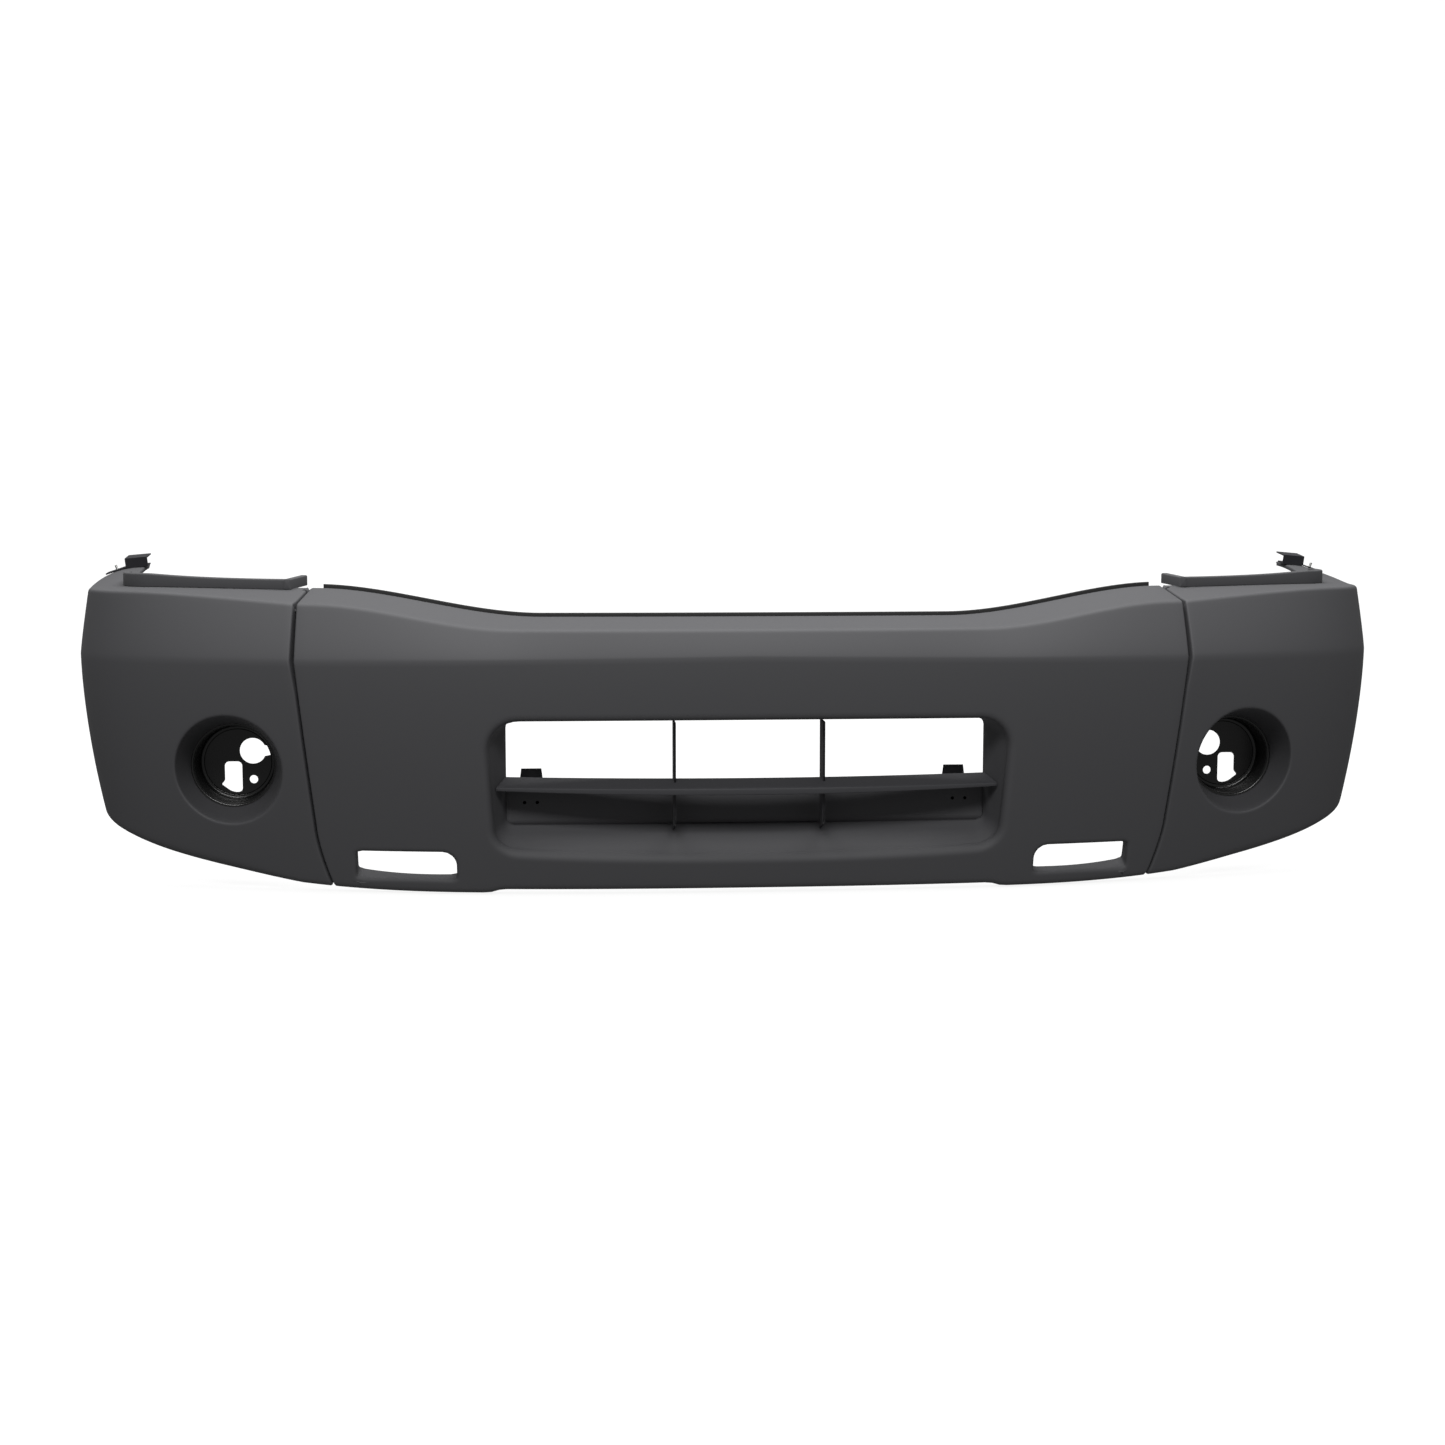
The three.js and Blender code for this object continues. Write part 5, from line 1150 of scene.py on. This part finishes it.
def zinc_plate(name, colour):
    """Zinc-plated steel with crystalline tone and a yellowish tinge in patches."""
    finish = Finish(name)
    crystals = finish.cells(900.0, "F1", "Distance")
    cloud = finish.noise(160.0, 4.0, 0.6)
    tone = finish.blend(cloud, tint(colour, 0.72), tint(colour, 1.15))
    tone = finish.blend((cloud * 3.0 - 1.6).clamp() * 0.5, tone, (0.50, 0.44, 0.30))
    rough = 0.26 + 0.25 * cloud + 0.1 * crystals
    finish.feed(Base_Color=tone, Metallic=(0.95 - 0.15 * cloud).clamp(), Roughness=rough.clamp(),
                Normal=finish.bump(crystals + finish.noise(1500.0, 2.0), 0.25, 0.0001))
    return finish.material


def pale_floor(name):
    """Pale studio floor that glows, so that it stays white, with a barely seen tooth."""
    finish = Finish(name)
    tone = finish.blend(finish.noise(0.7, 3.0), (0.15, 0.15, 0.15), (0.17, 0.17, 0.17))
    finish.feed(Base_Color=tone, Roughness=0.7 + 0.2 * finish.noise(40.0), Specular_IOR_Level=0.1,
                Emission_Color=(1.0, 1.0, 1.0, 1.0), Emission_Strength=FLOOR_GLOW)
    return finish.material


# ---- sizes and colours that a user would change ----
class BumperSizes(bpy.types.PropertyGroup):
    wall: FloatProperty(name="Wall", description="Moulded wall", default=0.003, unit="LENGTH",
                        subtype="DISTANCE")
    crease_radius: FloatProperty(name="Crease radius", description="Rounding between face and top band",
                                 default=0.0054, unit="LENGTH", subtype="DISTANCE")
    edge_radius: FloatProperty(name="Edge radius", description="Rounding of the covers' borders",
                               default=0.003, unit="LENGTH", subtype="DISTANCE")
    rim_radius: FloatProperty(name="Rim radius", description="Rounding of the intake's rim",
                              default=0.009, unit="LENGTH", subtype="DISTANCE")
    grain: FloatProperty(name="Grain", description="Strength of the moulded grain", default=0.32,
                         min=0, max=1, subtype="FACTOR")
    grain_size: FloatProperty(name="Grain size", description="Spacing of the grain's pebbles",
                              default=0.0016, unit="LENGTH", subtype="DISTANCE")


class BumperColours(bpy.types.PropertyGroup):
    cover: FloatVectorProperty(name="Covers", description="Satin charcoal of the covers", subtype="COLOR",
                               size=3, default=(0.0125, 0.0127, 0.0133))
    vane: FloatVectorProperty(name="Vane", description="Dark grey of the vane", subtype="COLOR",
                              size=3, default=(0.014, 0.0142, 0.0147))
    # the pockets' black is set darker than the covers' as painted shade for the deep funnel
    pocket: FloatVectorProperty(name="Pockets", description="Black of the lamp pockets", subtype="COLOR",
                                size=3, default=(0.010, 0.010, 0.011))
    trim: FloatVectorProperty(name="Trim", description="Black of strip and retainers", subtype="COLOR",
                              size=3, default=(0.012, 0.012, 0.013))
    steel: FloatVectorProperty(name="Brackets", description="Black coating of the brackets",
                               subtype="COLOR", size=3, default=(0.014, 0.014, 0.015))
    zinc: FloatVectorProperty(name="Fasteners", description="Zinc of screws and nuts", subtype="COLOR",
                              size=3, default=(0.55, 0.55, 0.54))


def material(key):
    """The named finish, made once."""
    found = bpy.data.materials.get(key)
    if found:
        return found
    sizes, colours = bpy.context.scene.bumper_sizes, bpy.context.scene.bumper_colours
    if key == "cover_plastic":
        return moulded_plastic(key, colours.cover, 0.42, sizes.grain, sizes.grain_size, 0.42)
    if key == "vane_plastic":
        return moulded_plastic(key, colours.vane, 0.46, 0.8 * sizes.grain, sizes.grain_size)
    # darker than the covers: painted shade for the deep funnel
    if key == "pocket_plastic":
        return moulded_plastic(key, colours.pocket, 0.3, 0.3 * sizes.grain, sizes.grain_size)
    if key == "trim_plastic":
        return moulded_plastic(key, colours.trim, 0.5, 0.6 * sizes.grain, 0.7 * sizes.grain_size)
    if key == "bracket_steel":
        return coated_steel(key, colours.steel)
    if key == "fastener_steel":
        return zinc_plate(key, colours.zinc)
    raise ValueError(f"no finish named {key}")


SLOTS = {p["node"]: p["material_slot"] for p in frame["record"]["subparts"]}
BODIES = {n: body for body, nodes in frame["record"]["behaviour"]["bodies"].items() for n in nodes}


def stand_for(piece, node):
    """The piece rides with the node's body and replaces it."""
    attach(piece, BODIES[node])
    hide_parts(node)


HANDS = (("lh", False), ("rh", True))


class BuildCentreCover(bpy.types.Operator):
    """Builds the centre cover with its intake, tow-hook openings and upper flange"""
    bl_idname = "bumper.centre_cover"
    bl_label = "Centre cover"

    def execute(self, context):
        sizes = context.scene.bumper_sizes
        made = centre_sheet(sizes).object("centre_cover_skin", material("cover_plastic"), wall=sizes.wall)
        stand_for(made, "centre_cover")
        return {"FINISHED"}


class BuildEndCovers(bpy.types.Operator):
    """Builds the two end covers with their lamp funnels"""
    bl_idname = "bumper.end_covers"
    bl_label = "End covers"

    def execute(self, context):
        sizes = context.scene.bumper_sizes
        sheet = end_sheet(sizes)
        for hand, mirror in HANDS:
            made = sheet.object(f"end_cover_skin_{hand}", material("cover_plastic"), mirror, wall=sizes.wall)
            stand_for(made, f"end_cover_{hand}")
        return {"FINISHED"}


class BuildVane(bpy.types.Operator):
    """Builds the intake's shelf, fins and tongues"""
    bl_idname = "bumper.vane"
    bl_label = "Intake vane"

    def execute(self, context):
        stand_for(vane_sheet().object("intake_vane_body", material("vane_plastic")), "intake_vane")
        return {"FINISHED"}


class BuildPockets(bpy.types.Operator):
    """Builds the lamp pockets behind the funnels"""
    bl_idname = "bumper.pockets"
    bl_label = "Lamp pockets"

    def execute(self, context):
        for hand, mirror in HANDS:
            cup = cup_sheet().object(f"fog_pocket_cup_{hand}", material("pocket_plastic"), mirror,
                                     wall=CUP_WALL / 1000)
            stand_for(cup, f"fog_lamp_pocket_{hand}")
            loops = [arc_loop(0, 0, CUP_RADIUS - 5, 128), lamp_hole_loop(),
                     arc_loop(*AIM_HOLE, AIM_HOLE_RADIUS, 48), slot_loop()]
            mesh = flat_curve(f"plate_{hand}", loops, CUP_WALL, 0.4)
            turn = Matrix(((1, 0, 0, 0), (0, 0, -1, 0), (0, 1, 0, 0), (0, 0, 0, 1)))
            place = to_frame((FOG_X, CUP_BACK - CUP_WALL / 2, FOG_Z))
            mesh.transform(Matrix.Translation(Vector(place)) @ turn)
            if mirror:
                mesh.transform(Matrix.Diagonal((-1, 1, 1, 1)))
                mesh.flip_normals()
            mesh.materials.clear()
            mesh.materials.append(material("pocket_plastic"))
            plate = bpy.data.objects.new(f"fog_pocket_plate_{hand}", mesh)
            context.scene.collection.objects.link(plate)
            stand_for(plate, f"fog_lamp_pocket_{hand}")
        return {"FINISHED"}


class BuildFillers(bpy.types.Operator):
    """Builds the rails under the headlamps"""
    bl_idname = "bumper.fillers"
    bl_label = "Headlamp fillers"

    def execute(self, context):
        sheet = filler_sheet()
        for hand, mirror in HANDS:
            made = sheet.object(f"headlamp_filler_rail_{hand}", material("cover_plastic"), mirror)
            stand_for(made, f"headlamp_filler_{hand}")
        return {"FINISHED"}


class BuildStrip(bpy.types.Operator):
    """Builds the retainer strip and its push retainers"""
    bl_idname = "bumper.strip"
    bl_label = "Retainer strip"

    def execute(self, context):
        rail = strip_sheet().object("retainer_strip_rail", material("trim_plastic"))
        stand_for(rail, "upper_retainer_strip")
        for node in sorted(SLOTS):
            if not node.startswith("retainer_"):
                continue
            low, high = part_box(node)
            x, y = (np.array(low[:2]) + np.array(high[:2])) * 500 + ORIGIN[:2]
            if node.startswith("retainer_body"):
                sheet = retainer_body_sheet(x, y, high[2] * 1000 + ORIGIN[2] - RETAINER_RISE)
            else:
                sheet = retainer_pin_sheet(x, y, high[2] * 1000 + ORIGIN[2] - PIN_RISE)
            stand_for(sheet.object(f"{node}_turned", material("trim_plastic")), node)
        return {"FINISHED"}


class BuildBrackets(bpy.types.Operator):
    """Builds the pressed steel brackets of the vane and the wings"""
    bl_idname = "bumper.brackets"
    bl_label = "Brackets"

    def execute(self, context):
        for hand, _ in HANDS:
            for kind in ("vane_bracket", "fender_bracket"):
                node = f"{kind}_{hand}"
                stand_for(pressed_copy(node, f"{node}_pressed", material("bracket_steel"), 0.0005), node)
        return {"FINISHED"}


class BuildFasteners(bpy.types.Operator):
    """Builds every screw, bolt and nut with its head and thread"""
    bl_idname = "bumper.fasteners"
    bl_label = "Fasteners"

    def execute(self, context):
        for node in sorted(SLOTS):
            if "nut" in node:
                sheet = nut_sheet(node, NUT_BORE)
            elif "screw" in node or "bolt" in node:
                small = node.startswith(("filler", "fender"))
                sheet = screw_sheet(node, SMALL_SHANK if small else SHANK)
            else:
                continue
            stand_for(sheet.object(f"{node}_turned", material(SLOTS[node])), node)
        return {"FINISHED"}


class BuildStage(bpy.types.Operator):
    """Builds the floor, the lights and the camera"""
    bl_idname = "bumper.stage"
    bl_label = "Stage"

    def execute(self, context):
        scene = context.scene
        base = CAD_BOX[0][2] - FLOOR_GAP
        turn = np.linspace(0.1, np.pi / 2, 14)
        curve = np.stack([FLOOR_BACK + SWEEP_RADIUS * np.sin(turn), SWEEP_RADIUS * (1 - np.cos(turn))], -1)
        sweep = np.concatenate([[[FLOOR_FRONT, 0.0], [FLOOR_BACK, 0.0]], curve,
                                [[FLOOR_BACK + SWEEP_RADIUS, SWEEP_TOP]]])
        x = np.linspace(-FLOOR_HALF, FLOOR_HALF, 15)
        grid = np.stack(np.broadcast_arrays(x, sweep[:, :1], sweep[:, 1:] + base), -1)
        sheet = Sheet()
        sheet.grid(grid * 1000 + ORIGIN)
        floor = sheet.object("studio_floor", pale_floor("studio_paper"))
        floor.visible_diffuse = floor.visible_glossy = False
        world = bpy.data.worlds.new("studio")
        scene.world = world
        world.use_nodes = True
        background = next(n for n in world.node_tree.nodes if n.type == "BACKGROUND")
        background.inputs["Color"].default_value = (1.0, 1.0, 1.0, 1.0)
        background.inputs["Strength"].default_value = SKY_STRENGTH
        for name, where, aim, size, power in LIGHTS:
            lamp = bpy.data.lights.new(name, "AREA")
            lamp.shape, lamp.size, lamp.size_y, lamp.energy = "RECTANGLE", *size, power
            made = bpy.data.objects.new(name, lamp)
            made.location = where
            made.rotation_euler = (Vector(aim) - Vector(where)).to_track_quat("-Z", "Y").to_euler()
            scene.collection.objects.link(made)
        camera = bpy.data.cameras.new("view")
        camera.lens, camera.sensor_width, camera.clip_end = 50.0, 36.0, 100.0
        made = bpy.data.objects.new("view", camera)
        made.location = CAMERA_AT
        made.rotation_euler = Vector(CAMERA_AIM).to_track_quat("-Z", "Y").to_euler()
        scene.collection.objects.link(made)
        scene.camera = made
        scene.view_settings.view_transform = "Standard"
        return {"FINISHED"}


class BumperPanel(bpy.types.Panel):
    """Lists the builders and the sizes and colours they use"""
    bl_idname = "VIEW3D_PT_bumper"
    bl_label = "Truck bumper cover"
    bl_space_type = "VIEW_3D"
    bl_region_type = "UI"
    bl_category = "Bumper"

    def draw(self, context):
        for builder in BUILDERS:
            self.layout.operator(builder.bl_idname)
        for group in (context.scene.bumper_sizes, context.scene.bumper_colours):
            for key in group.__annotations__:
                self.layout.prop(group, key)


BUILDERS = (BuildCentreCover, BuildEndCovers, BuildVane, BuildPockets, BuildFillers, BuildStrip,
            BuildBrackets, BuildFasteners, BuildStage)
CLASSES = (BumperSizes, BumperColours, *BUILDERS, BumperPanel)


def register():
    for cls in CLASSES:
        bpy.utils.register_class(cls)
    bpy.types.Scene.bumper_sizes = PointerProperty(type=BumperSizes)
    bpy.types.Scene.bumper_colours = PointerProperty(type=BumperColours)


def unregister():
    del bpy.types.Scene.bumper_colours, bpy.types.Scene.bumper_sizes
    for cls in reversed(CLASSES):
        bpy.utils.unregister_class(cls)


def main():
    register()
    for builder in BUILDERS:
        group, call = builder.bl_idname.split(".")
        getattr(getattr(bpy.ops, group), call)()


if __name__ == "__main__":
    main()
